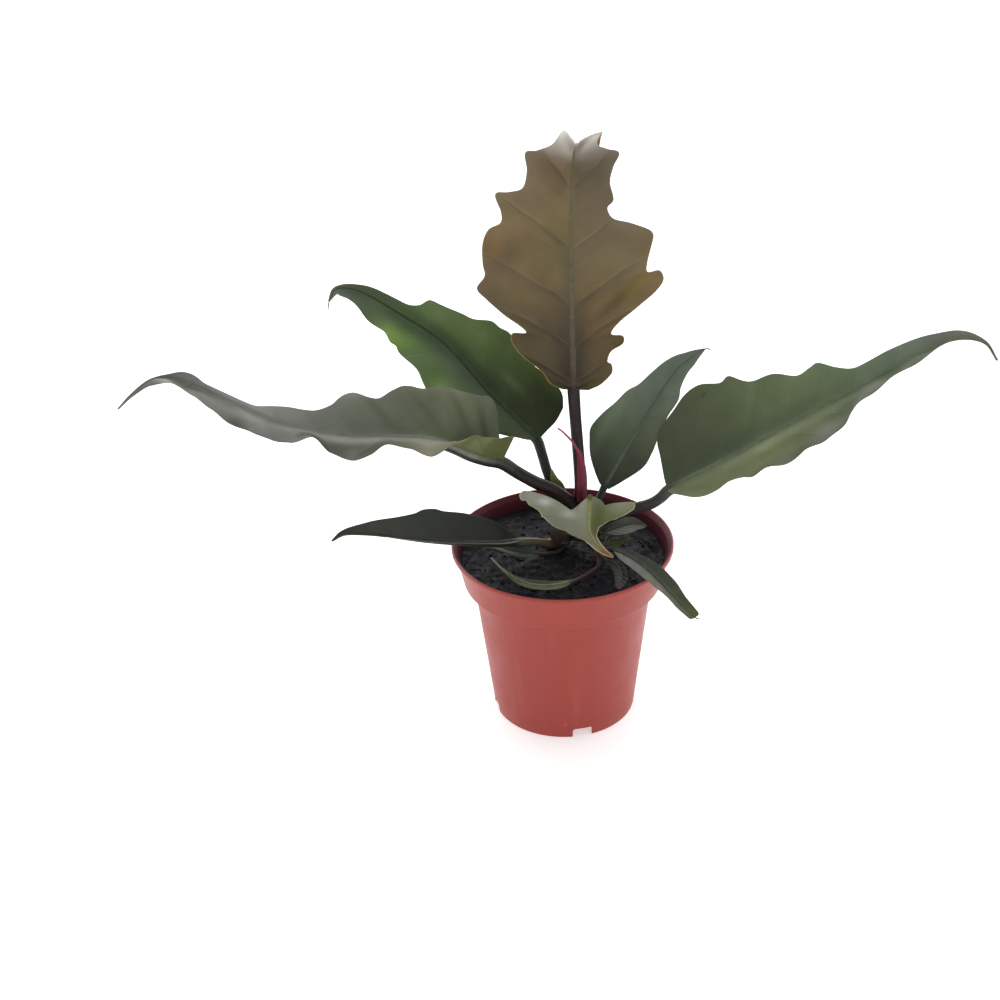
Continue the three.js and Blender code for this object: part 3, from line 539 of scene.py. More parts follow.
class Blade:
    """A leaf blade laid on its midrib: u is the distance along it and v the width out."""

    def __init__(self, leaf):
        self.leaf = leaf
        self.line = curve_through(leaf["midrib"], MIDRIB_STEPS)
        self.run = runs_of(self.line)
        self.length = self.run[-1]
        self.heading = unit(np.gradient(self.line, self.run, axis=0))
        self.sides = {1: self.trace(leaf["left"]), -1: self.trace(leaf["right"])}

    def trace(self, half):
        """The margin, with the place on the midrib that each of its points answers to."""
        ends = half["edge"] + [(self.length, TIP_WIDTH)]
        points = flat_curve(ends, len(ends) * MARGIN_STEPS)
        run = runs_of(points)
        starts = np.minimum(points[:, 0] - ROW_SWEEP * points[:, 1], self.length)
        starts = np.maximum.accumulate(starts)
        starts = (1 - ROW_EVENING) * starts + ROW_EVENING * self.length * run / run[-1]
        starts = (starts - starts[0]) * self.length / (starts[-1] - starts[0])
        foot = flat_curve([(0, 0), *half["base"], half["edge"][0]], FOOT_STEPS)
        return dict(points=points, starts=starts, foot=foot, foot_run=runs_of(foot))

    def margin(self, side, anchor):
        """The margin's point, as (u, v), for each place on the midrib."""
        half = self.sides[side]
        return np.stack([np.interp(anchor, half["starts"], half["points"][:, k])
                         for k in (0, 1)], -1)

    def anchors(self, rows):
        """Rows start closest together where the margins run longest."""
        steps = np.linspace(0, self.length, ROW_SEARCH)
        travel = sum(runs_of(self.margin(side, steps)) for side in (1, -1)) + steps
        return np.interp(np.linspace(0, travel[-1], rows + 1), travel, steps)

    def place(self, side, anchor, share):
        """Where on the flat leaf a row's point lies, a share of the way to the margin."""
        half = self.sides[side]
        base = np.stack([anchor, 0 * anchor], -1)
        out = (self.margin(side, anchor) - base) * share[..., None]
        run = share * half["foot_run"][-1]
        foot = np.stack([np.interp(run, half["foot_run"], half["foot"][:, k])
                         for k in (0, 1)], -1) - half["foot"][-1] * share[..., None]
        return base + out + foot * (1 - anchor / self.length)[..., None]

    def frame(self, u):
        """The midrib's place and directions at u: ahead, up from the blade and across."""
        inside = np.clip(u, 0, self.length)
        centre, heading = (
            np.stack([np.interp(inside, self.run, table[:, k]) for k in range(3)], -1)
            for table in (self.line, self.heading))
        heading = unit(heading)
        centre = centre + heading * (u - inside)[..., None]
        along = inside / self.length
        face = eased(self.leaf["face"], along)
        normal = unit(face - heading * (face * heading).sum(-1, keepdims=True))
        return along, centre, heading, normal, np.cross(normal, heading)

    def surface(self, u, v):
        """A flat leaf's point in space, with the blade folded at its midrib."""
        along, centre, _, normal, across = self.frame(u)
        left, right = (np.radians(eased(self.leaf[half]["fold"], along)[..., 0])
                       for half in ("left", "right"))
        fold = np.where(v >= 0, left, right)
        lift = np.sqrt(v * v + CREASE ** 2) - CREASE
        return (centre + across * (v * np.cos(fold))[..., None]
                + normal * (lift * np.sin(fold))[..., None])

    def upward(self, u, v):
        """The way that the upper skin faces."""
        ahead = self.surface(u + 0.4, v) - self.surface(u - 0.4, v)
        aside = self.surface(u, v + 0.3) - self.surface(u, v - 0.3)
        return unit(np.cross(ahead, aside))

    def veins(self, u, v):
        """Which side vein a point is next to, counted outwards, and their spacing there."""
        leaf = self.leaf
        slant = leaf.get("slant", 0.9)
        width = np.abs(v)
        starts = np.asarray(leaf.get("veins", VEIN_PLACES * self.length), float)
        root = u - slant * width + 0.004 * slant * width ** 2
        root = root + np.where(v < 0, leaf.get("stagger", 2.5), 0.0)
        count = np.interp(root, starts, np.arange(len(starts)))
        pitch = np.interp(root, 0.5 * (starts[1:] + starts[:-1]), np.diff(starts))
        count = np.where(root > starts[-1], len(starts) - 1 + (root - starts[-1]) / pitch, count)
        turn = np.arctan2(width, u + 1e-6) - math.atan2(1, slant)
        behind = root < starts[0]
        fan = -np.maximum(turn, (starts[0] - root) / 40) / VEIN_SPREAD * 0.9
        count = np.where(behind, fan, count)
        pitch = np.where(behind, np.maximum(np.hypot(u, width) * VEIN_SPREAD, 3), pitch)
        return count, pitch

    def relief(self, u, v, count, share):
        """How far the sheet bulges between its veins and waves along its margins."""
        leaf = self.leaf
        gap = np.abs((count + 0.5) % 1 - 0.5) * 2
        past = count % 1
        pleat = np.where(past < PLEAT_FALL,
                         (1 - np.minimum(past, PLEAT_FALL) / PLEAT_FALL) ** 1.4,
                         (np.maximum(past - PLEAT_FALL, 0) / PLEAT_RISE) ** 1.3)
        fade = np.clip(share / 0.25, 0, 1) * (1 - 0.45 * np.clip(share, 0, 1) ** 3)
        soft = 0.5 - 0.5 * np.cos(math.pi * gap)
        bulge = (leaf["quilt"] * soft + leaf.get("pleat", 0) * pleat) * fade
        for side, height, length, phase in leaf.get("waves", ()):
            on = v >= 0 if side > 0 else v < 0
            bulge = bulge + on * height * share ** 2.2 * np.sin(2 * math.pi * u / length + phase)
        return bulge


def paint(tones, spots, u, v, length):
    """Colours of the skin: tones along each half, and soft spots laid over them. Besides a leaf's
    own colours, on several leaves these carry painted light and shade.
    """
    along = np.clip(u / length, 0, 1)
    halves = []
    for side in ("left", "right"):
        stops = tones[side]
        places = [stop[0] for stop in stops]
        colours = np.array([srgb(stop[1]) for stop in stops])
        halves.append(np.stack([np.interp(along, places, colours[:, k]) for k in range(3)], -1))
    share = np.clip(0.5 + v / 4, 0, 1)[..., None]
    skin = halves[0] * share + halves[1] * (1 - share)
    for centre_u, centre_v, reach_u, reach_v, colour, strength, *lean in spots:
        off_v = v - centre_v
        off_u = u - centre_u - (lean[0] if lean else 0) * off_v
        weight = strength * np.exp(-(off_u / reach_u) ** 2 - (off_v / reach_v) ** 2)
        skin = skin + (np.array(srgb(colour)) - skin) * weight[..., None]
    return skin


def sheet_ends(around, end):
    """One more row half-way between the skins, which closes the sheet's end."""
    row = around[end]
    width = (len(row) - 1) // 2
    middle = 0.5 * (row[:width] + row[2 * width - 1:width - 1:-1])
    return np.concatenate([middle, middle[::-1], middle[:1]])[None]


def wrapped(top, below):
    """Marks of the upper skin and the underside, laid round the sheet as its points are."""
    both = np.concatenate([top, below[:, ::-1], top[:, :1]], axis=1)
    return np.concatenate([both[:1], both, both[-1:]], axis=0)


def blade_mesh(blade, rows, columns):
    """The closed sheet: upper skin, margin and underside as one grid wrapped round it."""
    leaf = blade.leaf
    anchor = blade.anchors(rows)
    steps = np.linspace(0, 1, columns) ** COLUMN_CROWDING * (1 - RIM_SHARE)
    shares = np.concatenate([[-1.0], -steps[:0:-1], steps, [1.0]])
    grid_anchor, grid_share = np.meshgrid(anchor, shares, indexing="ij")
    on_left, share = grid_share >= 0, np.abs(grid_share)
    flat = np.where(on_left[..., None], blade.place(1, grid_anchor, share),
                    blade.place(-1, grid_anchor, share))
    u, v = flat[..., 0], flat[..., 1] * np.where(on_left, 1, -1)
    count, pitch = blade.veins(u, v)
    up = blade.upward(u, v)
    sheet = blade.surface(u, v) + up * blade.relief(u, v, count, share)[..., None]
    margin = np.stack([blade.margin(side, anchor) for side in (-1, 1)], 1)
    width = np.where(on_left, margin[:, 1:, 1], margin[:, :1, 1])
    edge = np.minimum((1 - share) * np.maximum(width, 1.0), (grid_anchor + 1.5))
    thick = SHEET_THICK * (0.5 + 0.5 * (1 - share ** 4))
    half = up * (0.5 * thick)[..., None]
    ridge = np.exp(-(np.abs((count + 0.5) % 1 - 0.5) * pitch / 0.7) ** 2) * (1 - share) * 0.35
    upper, under = sheet + half, sheet - half - up * ridge[..., None]
    around = np.concatenate([upper, under[:, ::-1], upper[:, :1]], axis=1)
    around = np.concatenate([sheet_ends(around, 0), around, sheet_ends(around, -1)], axis=0)
    skin = paint(leaf["tones"], leaf.get("spots", ()), u, v, blade.length)
    back = paint(leaf["under"], (), u, v, blade.length)
    opaque = np.ones((*u.shape, 1))
    glow = 0 * u + leaf.get("glow", 0.2)
    for centre_u, centre_v, reach_u, reach_v, strength in leaf.get("lit_rim", ()):
        glow = glow + strength * np.exp(-((u - centre_u) / reach_u) ** 2
                                        - ((v - centre_v) / reach_v) ** 2)
    tint = wrapped(np.concatenate([skin, opaque], -1), np.concatenate([back, opaque], -1))
    return welded(shaped_grid(
        bmesh.new(), around, tint=tint, vein=wrapped(count, count), pitch=wrapped(pitch, pitch),
        edge=wrapped(edge, edge), reach=wrapped(share, share),
        under=wrapped(0 * u, 0 * u + 1.0), glow=wrapped(glow, glow)))


def stalk_mesh(blade):
    """The stalk and the midrib it runs on as, one tapering rod just proud of the blade."""
    leaf = blade.leaf
    radius = leaf["radius"]
    petiole = np.asarray(leaf["petiole"], float)
    u = np.linspace(0, RIB_REACH * blade.length, RIB_POINTS)
    along, centre, _, normal, _ = blade.frame(u)
    taper = RIB_END + (radius - RIB_END) * (1 - along) ** leaf.get("taper", 1.25)
    proud = RIB_END_PROUD + leaf.get("proud", 0.5) * (1 - along) ** 0.7
    under = centre - normal * (taper - proud)[:, None]
    swell = radius * np.interp(np.linspace(0, 1, len(petiole)), (0, 0.4, 1),
                               leaf.get("stalk", (1.18, 0.96, 0.94)))
    tip = np.asarray(leaf.get("tip", np.zeros((0, 3))), float)
    nodes = np.concatenate([petiole, under, tip])
    thick = np.concatenate([swell, taper, np.linspace(0.3, 0.12, len(tip))])
    mask = np.concatenate([np.zeros(len(petiole)), np.clip(u / leaf.get("bare", 4), 0.15, 1),
                           np.ones(len(tip))])
    share = np.concatenate([np.zeros(len(petiole)), along, np.ones(len(tip))])
    dense = curve_through(np.column_stack([nodes, thick]), 60 * len(nodes))
    run = runs_of(dense[:, :3])
    even = np.linspace(0, run[-1], STALK_RINGS)
    path = np.stack([np.interp(even, run, dense[:, k]) for k in range(4)], -1)
    key = np.interp(np.linspace(0, 1, len(nodes)), np.linspace(0, 1, len(run)), run)
    mask, share = np.interp(even, key, mask), np.interp(even, key, share)
    points = tube_rings(path[:, :3], np.maximum(path[:, 3], 0.1), STALK_SIDES)
    facing = blade.frame(share * blade.length)[3]
    outward = unit(points[1:-1] - path[:, None, :3])
    upper = np.clip((outward * facing[:, None]).sum(-1) * 3 - 1.4, 0, 1)
    # The rib and rib_tip tones on the midrib's upper side are set lighter than the blade beside
    # them: painted light against the shade in the crease along the midrib. The keel tone below is
    # its own.
    wood, rib, keel = (np.array(srgb(leaf[tone])) for tone in ("wood", "rib", "keel"))
    on_blade = keel + (rib - keel) * upper[..., None]
    tip_tone = np.array(srgb(leaf.get("rib_tip", leaf["rib"])))
    on_blade = on_blade + (tip_tone - on_blade) * (share ** leaf.get("turn", 1.5))[:, None, None]
    reach = mask[:, None, None]
    wood_end = np.array(srgb(leaf.get("wood_end", leaf["wood"])))
    first = np.clip(even / max(key[len(petiole)], 1), 0, 1)[:, None, None]
    wood = wood + (wood_end - wood) * first
    tint = wood * (1 - reach) + on_blade * reach
    tint = np.concatenate([tint[:1], tint, tint[-1:]])
    tint = np.concatenate([tint, np.ones((*tint.shape[:2], 1))], -1)
    return welded(shaped_grid(bmesh.new(), points, tint=tint))


def leaf_finish(name, vein, margin, rough=(0.38, 0.5), veining=0.12, gloss=0.28, pleat=0.1,
                crease=0.3):
    """Leathery leaf skin: mottled, with side veins, fine ribs between them, painted shade on
    the base side of each vein's pleat, a pale margin and a waxy shine that is duller underneath."""
    skin = Finish(name, Specular_IOR_Level=gloss)
    wander = skin.math("MULTIPLY_ADD", skin.noise(55, 2), 0.16, -0.08)
    count = skin.math("ADD", skin.attribute("vein"), wander)
    pitch, reach = skin.attribute("pitch"), skin.attribute("reach")
    below = skin.attribute("under")

    def ribs(times):
        turn = skin.math("FRACT", skin.math("MULTIPLY_ADD", count, times, 0.5))
        gap = skin.math("ABSOLUTE", skin.math("SUBTRACT", turn, 0.5))
        return skin.math("DIVIDE", skin.math("MULTIPLY", gap, pitch), times)

    width = skin.span(reach, 0, 1, 2.0, 1.1, smooth=False)
    line = skin.span(skin.math("DIVIDE", ribs(1.0), width), 0, 1, 1, 0)
    fine = skin.span(ribs(7.0), 0.0, 0.55, 1, 0)
    mottle = skin.noise(70, 5, rough=0.6)
    patch = skin.noise(24, 2)
    tone = skin.mix(skin.span(mottle, 0.3, 0.7, 0.0, 0.4), skin.attribute("tint", "Color"),
                    (0.72, 0.74, 0.70), "MULTIPLY")
    tone = skin.mix(skin.span(patch, 0.45, 0.7, 0.0, 0.35), tone, (1.0, 0.98, 0.9), "SOFT_LIGHT")
    tone = skin.mix(skin.math("MULTIPLY", fine, 0.035), tone, (0.45, 0.45, 0.42), "MULTIPLY")
    # Painted shade: the stretch just before each side vein is darkened as if the pleat there were
    # in shade; pleat sets how dark.
    past = skin.math("FRACT", count)
    shade = skin.math("MULTIPLY", skin.span(past, 0.55, 1.0), skin.span(reach, 0.0, 0.2))
    shade = skin.math("MULTIPLY", shade, skin.span(reach, 0.6, 1.0, 1, 0.3))
    tone = skin.mix(skin.math("MULTIPLY", shade, pleat), tone, (0.4, 0.37, 0.36), "MULTIPLY")
    inner = skin.math("MULTIPLY", skin.span(reach, 0.0, 1.0, veining, 0.2 * veining),
                      skin.span(patch, 0.3, 0.65, 0.4, 1.0))
    tone = skin.mix(skin.math("MULTIPLY", line, inner), tone, srgb(vein))
    # The pale margin line: glow sets its strength, the margin's own pale colour, and the lit_rim
    # spots raise it as painted light where the rim catches the light.
    rim = skin.math("MULTIPLY", skin.span(skin.attribute("edge"), 0.2, 0.7, 1, 0),
                    skin.attribute("glow"))
    tone = skin.mix(rim, tone, srgb(margin))
    pores = skin.noise(2600, 2)
    groove = skin.math("MULTIPLY_ADD", line, -crease, skin.math("MULTIPLY", fine, -0.06))
    groove = skin.math("MULTIPLY", groove, skin.span(below, 0, 1, 1, -1, smooth=False))
    height = skin.math("ADD", groove, skin.math("MULTIPLY_ADD", mottle, 0.6,
                                                skin.math("MULTIPLY", pores, 0.12)))
    skin.bump(height, 0.00035, 0.6)
    shine = skin.math("MULTIPLY_ADD", below, 0.14, skin.span(patch, 0.3, 0.7, *rough))
    return skin.wear(Base_Color=tone, Roughness=shine)


def stalk_finish():
    """Smooth fleshy stalk with lengthwise streaks and tiny pale dots."""
    stalk = Finish("stalk_skin", Specular_IOR_Level=0.25)
    streak = stalk.noise(260, 3)
    tone = stalk.mix(stalk.span(streak, 0.3, 0.75, 0, 0.5), stalk.attribute("tint", "Color"),
                     (0.55, 0.55, 0.55), "MULTIPLY")
    dots = stalk.add("TexVoronoi", Vector=stalk.place, Scale=700.0)
    dot = stalk.span(dots.outputs["Distance"], 0.08, 0.2, 0.15, 0)
    tone = stalk.mix(dot, tone, srgb("8f8a80"))
    stalk.bump(streak, 0.00012)
    return stalk.wear(Base_Color=tone, Roughness=stalk.span(streak, 0.3, 0.7, 0.4, 0.55))


stalk_skin = stalk_finish()


def half_leaf(edge, fold, base=()):
    """One half of a blade: its margin as (u, v), its fold in degrees and its lobe's foot."""
    return dict(edge=edge, fold=fold, base=base)


def alike(*stops):
    """The same tones on both halves."""
    return dict(left=stops, right=stops)


def grow_leaf(name, finish, rows, columns, leaf):
    """Make a leaf's blade and its stalk, both standing for the leaf's solid."""
    blade = Blade(leaf)
    sheet = mesh_object(blade_mesh(blade, rows, columns), name + "_blade")
    place_piece(sheet, finish, name)
    rod = mesh_object(stalk_mesh(blade), name + "_stalk")
    place_piece(rod, stalk_skin, name)


caramel = leaf_finish("leaf_caramel_skin", "8e7a5c", "b0a060", veining=0.09, pleat=0.5,
                      crease=0.45)
grow_leaf("leaf_top", caramel, rows=230, columns=30, leaf=dict(
    petiole=[(9.5, 12, 112), (10.7, 12.2, 126), (10.2, 12.5, 141), (8.4, 13, 169)],
    midrib=[(7.6, 13, 186), (7.2, 15, 225), (7.2, 21, 264), (8.5, 31, 292), (11, 45, 305.5),
        (13, 59, 301), (14, 68, 288)],
    face=[(0, -1, 0.15), (0, -1, 0.3), (0, -0.6, 1)],
    left=half_leaf([(1, 6), (5, 12.5), (10, 15.5), (14, 19), (22, 27), (30, 32), (34, 31),
        (34, 24), (44, 35), (53, 44), (59, 49), (65, 45), (71, 46), (79, 46), (86, 43), (89, 37),
        (94, 37), (101, 40), (102, 33), (104, 26), (111, 25), (117, 27), (119, 21), (123, 14),
        (128, 11), (133, 10), (138, 9.5), (146, 8), (155, 5)],
        [8, 8, 8, 10, 12, 14, 16, 22, 34, 33, 20]),
    right=half_leaf([(0, 8), (3, 14), (9, 20), (14, 20), (16, 18), (22, 20), (26, 26), (30, 26),
        (31, 20), (38, 25), (47, 35), (54, 43), (60, 47), (65, 45), (64, 39), (69, 39), (77, 41),
        (83, 42), (86, 39), (89, 30), (91, 22), (96, 19), (100, 22), (108, 20), (115, 22),
        (120, 26), (122, 20), (125, 14), (130, 13.5), (137, 15), (143, 14), (149, 9), (155, 5)],
        [8, 8, 8, 10, 12, 14, 16, 22, 36, 37, 20]),
    radius=3.3, veins=[4, 24, 46, 75, 106, 128, 146], slant=0.8, quilt=0.2, pleat=1.5,
    stagger=0.5, waves=[(1, 0.8, 22, 0.5), (-1, 0.8, 24, 2.0)], proud=0.75,
    lit_rim=[(18, 25, 14, 12, 0.8), (3, 8, 6, 8, 0.8), (2, -8, 5, 8, 0.6)],
    # Painted light and shade: the pale 0.81 stops of the tones and the pale spot by the crest are
    # painted sheen where the tip bends away; the dark spot at the midrib's foot and the dark
    # leaning streaks beside the side veins are painted shade; the lit_rim spots are painted light
    # on the lower margins. The yellow and reddish-brown spots are the leaf's own colour.
    tones=dict(
        left=[(0, "3a3119"), (0.15, "50432a"), (0.35, "655639"), (0.5, "786645"),
            (0.74, "84745c"), (0.81, "f0eae0")],
        right=[(0, "524522"), (0.15, "5d4b2a"), (0.3, "6d5a38"), (0.45, "796a4b"),
            (0.74, "746855"), (0.81, "a89d90"), (1, "8a7e72")]),
    spots=[(83, 9, 16, 9, "766c40", 0.6), (79, 41, 14, 9, "7a5c3c", 0.5),
        (111, 9, 10, 9, "7c6440", 0.5), (12, 0, 30, 8, "281f12", 0.9),
        (56, 0, 26, 5, "4c4632", 0.5), (50, -25, 3.5, 13, "40351c", 0.75, -0.85),
        (58, -35, 3.5, 9, "7d6c28", 0.7, -0.85), (62, -42, 8, 5, "7c5f38", 0.5),
        (70, 37, 7, 12, "5c4c3a", 0.5, -0.6), (42, 18, 4, 12, "54452f", 0.5, 0.8),
        (146, -8, 8, 10, "5a4f44", 0.6), (125, 4, 6, 20, "b8aea2", 0.5),
        (133, -18, 8, 7, "5f564e", 0.5), (53, 9, 2, 7, "463a22", 0.55, 0.8),
        (50, -8, 2, 6, "463a22", 0.5, -0.8), (82, 9, 2, 8, "565230", 0.5, 0.8),
        (111, 7, 1.5, 5, "565230", 0.5, 0.8), (111, -7, 1.5, 5, "565230", 0.5, -0.8),
        (31, 8, 2.5, 8, "3c311b", 0.5, 0.8), (22, -22, 4, 10, "463820", 0.45, -0.8)],
    under=alike((0, "5e4034"), (0.5, "74543f"), (1, "8c7060")),
    wood="221b19", wood_end="2b2322", rib="453a32", keel="5e4a40", rib_tip="867e5c", turn=0.8))


# ---------------------------------------------------------------------------------------
# Rear green leaf: an older leaf behind on the left, still green, broad at its base and
# drawn out to a hooked tip. It has a dark band along its midrib and glows where the
# light comes through its lower half.
# ---------------------------------------------------------------------------------------
rear_green = leaf_finish("leaf_green_skin", "4f6a3c", "4a5a3c", veining=0.04, pleat=0.06)
grow_leaf("leaf_back_left", rear_green, rows=200, columns=26, leaf=dict(
    petiole=[(6, 13, 113), (-2.5, 16.5, 124), (-6.7, 20, 133.8), (-9.1, 23, 142.3)],
    midrib=[(-11, 27, 150), (-36, 38, 173), (-60, 48, 199), (-85, 58, 214), (-104, 64, 224),
        (-117, 67, 225), (-122, 67, 218)],
    face=[(0.3, -0.8, 0.6)],
    left=half_leaf([(9, 9.4), (13, 12.4), (18, 15.8), (25, 22.5), (33, 29), (45, 34), (58, 34),
        (65, 31), (72, 28), (80, 27), (88, 24), (92, 21), (96, 21), (101, 18), (107, 17),
        (114, 15), (125, 10), (136, 5)], [22, 25, 25, 20], base=[(1, 1.4), (5, 6)]),
    right=half_leaf([(2, 22), (7, 27), (13, 29), (20, 30), (28, 28), (40, 29), (53, 30),
        (59, 28), (64, 27), (70, 21), (75, 19), (81, 17), (86, 16), (92, 15), (95, 10), (100, 7),
        (108, 6), (121, 5), (130, 3), (140, 1.5)], [10, 10, 12, 10], base=[(0, 6), (0, 14)]),
    radius=2.9, veins=[8, 26, 45, 64, 83, 102, 120], slant=0.9, quilt=0.2,
    waves=[(1, 0.8, 24, 0.0), (-1, 0.6, 26, 1.0)],
    tones=dict(
        left=[(0, "343f22"), (0.15, "3c4b28"), (0.35, "455d2b"), (0.6, "506c35"),
            (0.85, "4c5b41"), (0.93, "6a705f")],
        right=[(0, "272e1c"), (0.15, "303d20"), (0.3, "485c34"), (0.45, "586f40"),
            (0.65, "627b4c"), (0.76, "56654b")]),
    # Painted light: the two bright yellow-green spots stand for light coming through the blade,
    # and the thin pale streak at u 33 is a painted reflection.
    spots=[(50, 27, 13, 8, "789e34", 0.9), (96, 17, 10, 7, "78983e", 0.8),
        (72, 24, 7, 6, "47601f", 0.4), (70, 4, 50, 5, "2f3f2a", 0.75),
        (58, -3, 56, 4, "334429", 0.75), (33, -13, 9, 2, "6c8060", 0.3),
        (20, -4, 22, 7, "242d19", 0.5), (90, -17, 32, 7, "7f9464", 0.35),
        (28, -30, 32, 6, "5a6c30", 0.45)],
    tip=[(-122.3, 66.8, 215.5), (-122.6, 66.4, 213.2)],
    under=alike((0, "46602f"), (0.5, "54703c"), (1, "5f7350")),
    wood="2a2826", rib="33452c", keel="4c4a40"))


# ---------------------------------------------------------------------------------------
# Grey-green leaf: the long leaf reaching out to the left, folded along its midrib, its
# front half standing steeply at the base so that its yellow-green underside shows.
# ---------------------------------------------------------------------------------------
grey_green = leaf_finish("leaf_grey_green_skin", "767b6c", "7c8070", rough=(0.3, 0.42),
                         veining=0.04, pleat=0.06)
grow_leaf("leaf_left", grey_green, rows=230, columns=24, leaf=dict(
    petiole=[(8, 11, 116), (-3.6, 9, 128.2), (-13.2, 7.5, 134.2), (-22.7, 6, 141.3)],
    midrib=[(-30.6, 4, 150.4), (-44.2, 3.3, 154.3), (-57, 2.2, 161.3), (-69.4, 0.9, 166.4),
        (-86.4, -0.6, 168.8), (-109.4, -4.4, 172), (-129.2, -8.8, 178.3), (-148.3, -14, 188),
        (-166.6, -19.8, 200.6), (-182.3, -24, 211.8), (-193.5, -26.8, 218.1),
        (-202.9, -29, 218.6), (-211.7, -31, 212.9), (-219.8, -33, 205.4)],
    face=[(0, -0.5, 0.87)],
    left=half_leaf([(0, 25), (6, 23.4), (13, 24.6), (22, 19), (32, 28.1), (42, 21.5), (54, 22.6),
        (66, 16.3), (78, 25.1), (90, 25.1), (102, 18.9), (114, 18.7), (126, 20.8), (140, 17.9),
        (154, 13.8), (168, 11.2), (182, 7.5), (198, 2.6)],
        [90, 84, 90, 64, 32, 42, 43, 33, 28, 30, 46, 30, 27, 24, 15, 25, 32, 41, 13, 3, 0],
        base=[(0, 8), (0, 16)]),
    right=half_leaf([(6.7, 24.5), (10.4, 29.3), (21, 31.3), (25.1, 29.9), (33, 28.7),
        (39.9, 28.5), (46.3, 25.9), (51.9, 26.9), (56.5, 26.7), (61.1, 24.5), (67.5, 20.3),
        (73.1, 20.7), (77.7, 22.1), (82.8, 22.9), (87.8, 21.5), (91.5, 18.9), (95.2, 15.1),
        (103.1, 11), (110.4, 9.8), (118.7, 9), (127.5, 6.8), (135.8, 4), (143.2, 3.6),
        (151.9, 3.8), (160.7, 3.8), (165.8, 4), (170.4, 5.4), (174.5, 5.6), (178.2, 4.8),
        (183.3, 2.4), (189.3, 1), (196.2, 0.6), (202.7, 0.6)],
        [30, 30, 30, 32, 33, 32, 30, 28, 28, 28, 30], base=[(1, 4), (4, 13)]),
    radius=3.6, veins=[6, 24, 43, 62, 82, 103, 125, 148, 172], slant=1.0, quilt=0.3,
    # Painted light and shade: the paler stops towards the tip on both halves, the pale band
    # beside the midrib and the two pale patches on the right half are painted sheen; the dark
    # spots over the outer left half and the dark leaning streaks on the right half are painted
    # shade.
    tones=dict(
        left=[(0, "9c9a85"), (0.2, "98967f"), (0.3, "787a68"), (0.45, "6a6c5a"), (0.6, "505246"),
            (0.8, "525449"), (1, "82827c")],
        right=[(0, "60674f"), (0.2, "6a705b"), (0.35, "777c6c"), (0.5, "888c83"),
            (0.64, "a8a8a4"), (0.76, "8c8c88"), (0.87, "6c6c67")]),
    spots=[(68, 5, 62, 5, "c4c5ba", 0.85), (104, 24, 60, 9, "2f3028", 0.8),
        (128, 18, 38, 8, "2a2b22", 0.6), (50, 27, 30, 6, "5c5c48", 0.6),
        (46, -30, 12, 5, "9a9e88", 0.7), (84, -26, 12, 5, "b0b3a8", 0.7),
        (30, -18, 2.5, 10, "474d3a", 0.6, -0.8), (44, -14, 2.5, 10, "515744", 0.5, -0.8),
        (68, -14, 2.5, 10, "5a6050", 0.5, -0.8), (16, -16, 3, 9, "3e4434", 0.6, -0.8),
        (156, -1, 24, 1.3, "4c4e48", 0.5)],
    under=dict(
        left=[(0, "62653f"), (0.1, "6a6e45"), (1, "70785a")],
        right=[(0, "70784c"), (1, "70785a")]),
    wood="352825", rib="9a9c8e", keel="2c2a26", wood_end="20211c", rib_tip="5c5e55", bare=16))


# ---------------------------------------------------------------------------------------
# Blue-green leaf: a smaller leaf standing behind on the right, nearly flat, dull and
# bluish, with a short curled thread at its tip.
# ---------------------------------------------------------------------------------------
blue_green = leaf_finish("leaf_blue_green_skin", "4a564a", "566050", veining=0.0, pleat=0.05,
                         crease=0.15)
grow_leaf("leaf_back_right", blue_green, rows=120, columns=20, leaf=dict(
    petiole=[(12, 13, 108), (20.3, 15.5, 118)],
    midrib=[(23.6, 18, 124), (41.6, 25, 153.7), (61, 33, 182.4), (71, 36, 191), (79, 38, 195.3)],
    tip=[(80.5, 38.2, 195.6), (81.6, 38.4, 194.4), (82.4, 38.6, 194.6), (83.2, 38.8, 195.6)],
    face=[(-0.2, -0.9, 0.4)],
    left=half_leaf([(1, 3), (5, 8), (12, 15), (20, 20), (26, 22.5), (35, 21), (44, 18), (52, 16),
        (58, 12.5), (65, 10.5), (74, 8), (82, 5)], [8, 14, 10]),
    right=half_leaf([(1, 3), (7, 6.5), (21, 13.5), (31, 14), (38, 13), (51, 11), (62, 11),
        (69, 8), (77, 6), (85, 4)], [8, 20, 10]),
    radius=2, veins=[5, 18, 32, 46, 60, 74], slant=0.9, quilt=0.15,
    tones=dict(
        left=[(0, "363c2e"), (0.15, "38422f"), (0.27, "445138"), (0.42, "5c6a54"),
            (0.65, "6c7868"), (1, "6b7669")],
        right=[(0, "353b2e"), (0.25, "444e3a"), (0.45, "667059"), (0.65, "717c6c"),
            (1, "757f71")]),
    # The pale streak along the left half is painted sheen.
    spots=[(44, 0, 40, 4, "4a5649", 0.35), (56, 16, 40, 4, "8e9a80", 0.35)],
    under=alike((0, "4c5a4a"), (1, "5a6656")),
    wood="262422", rib="5c6858", keel="3a3a33"))
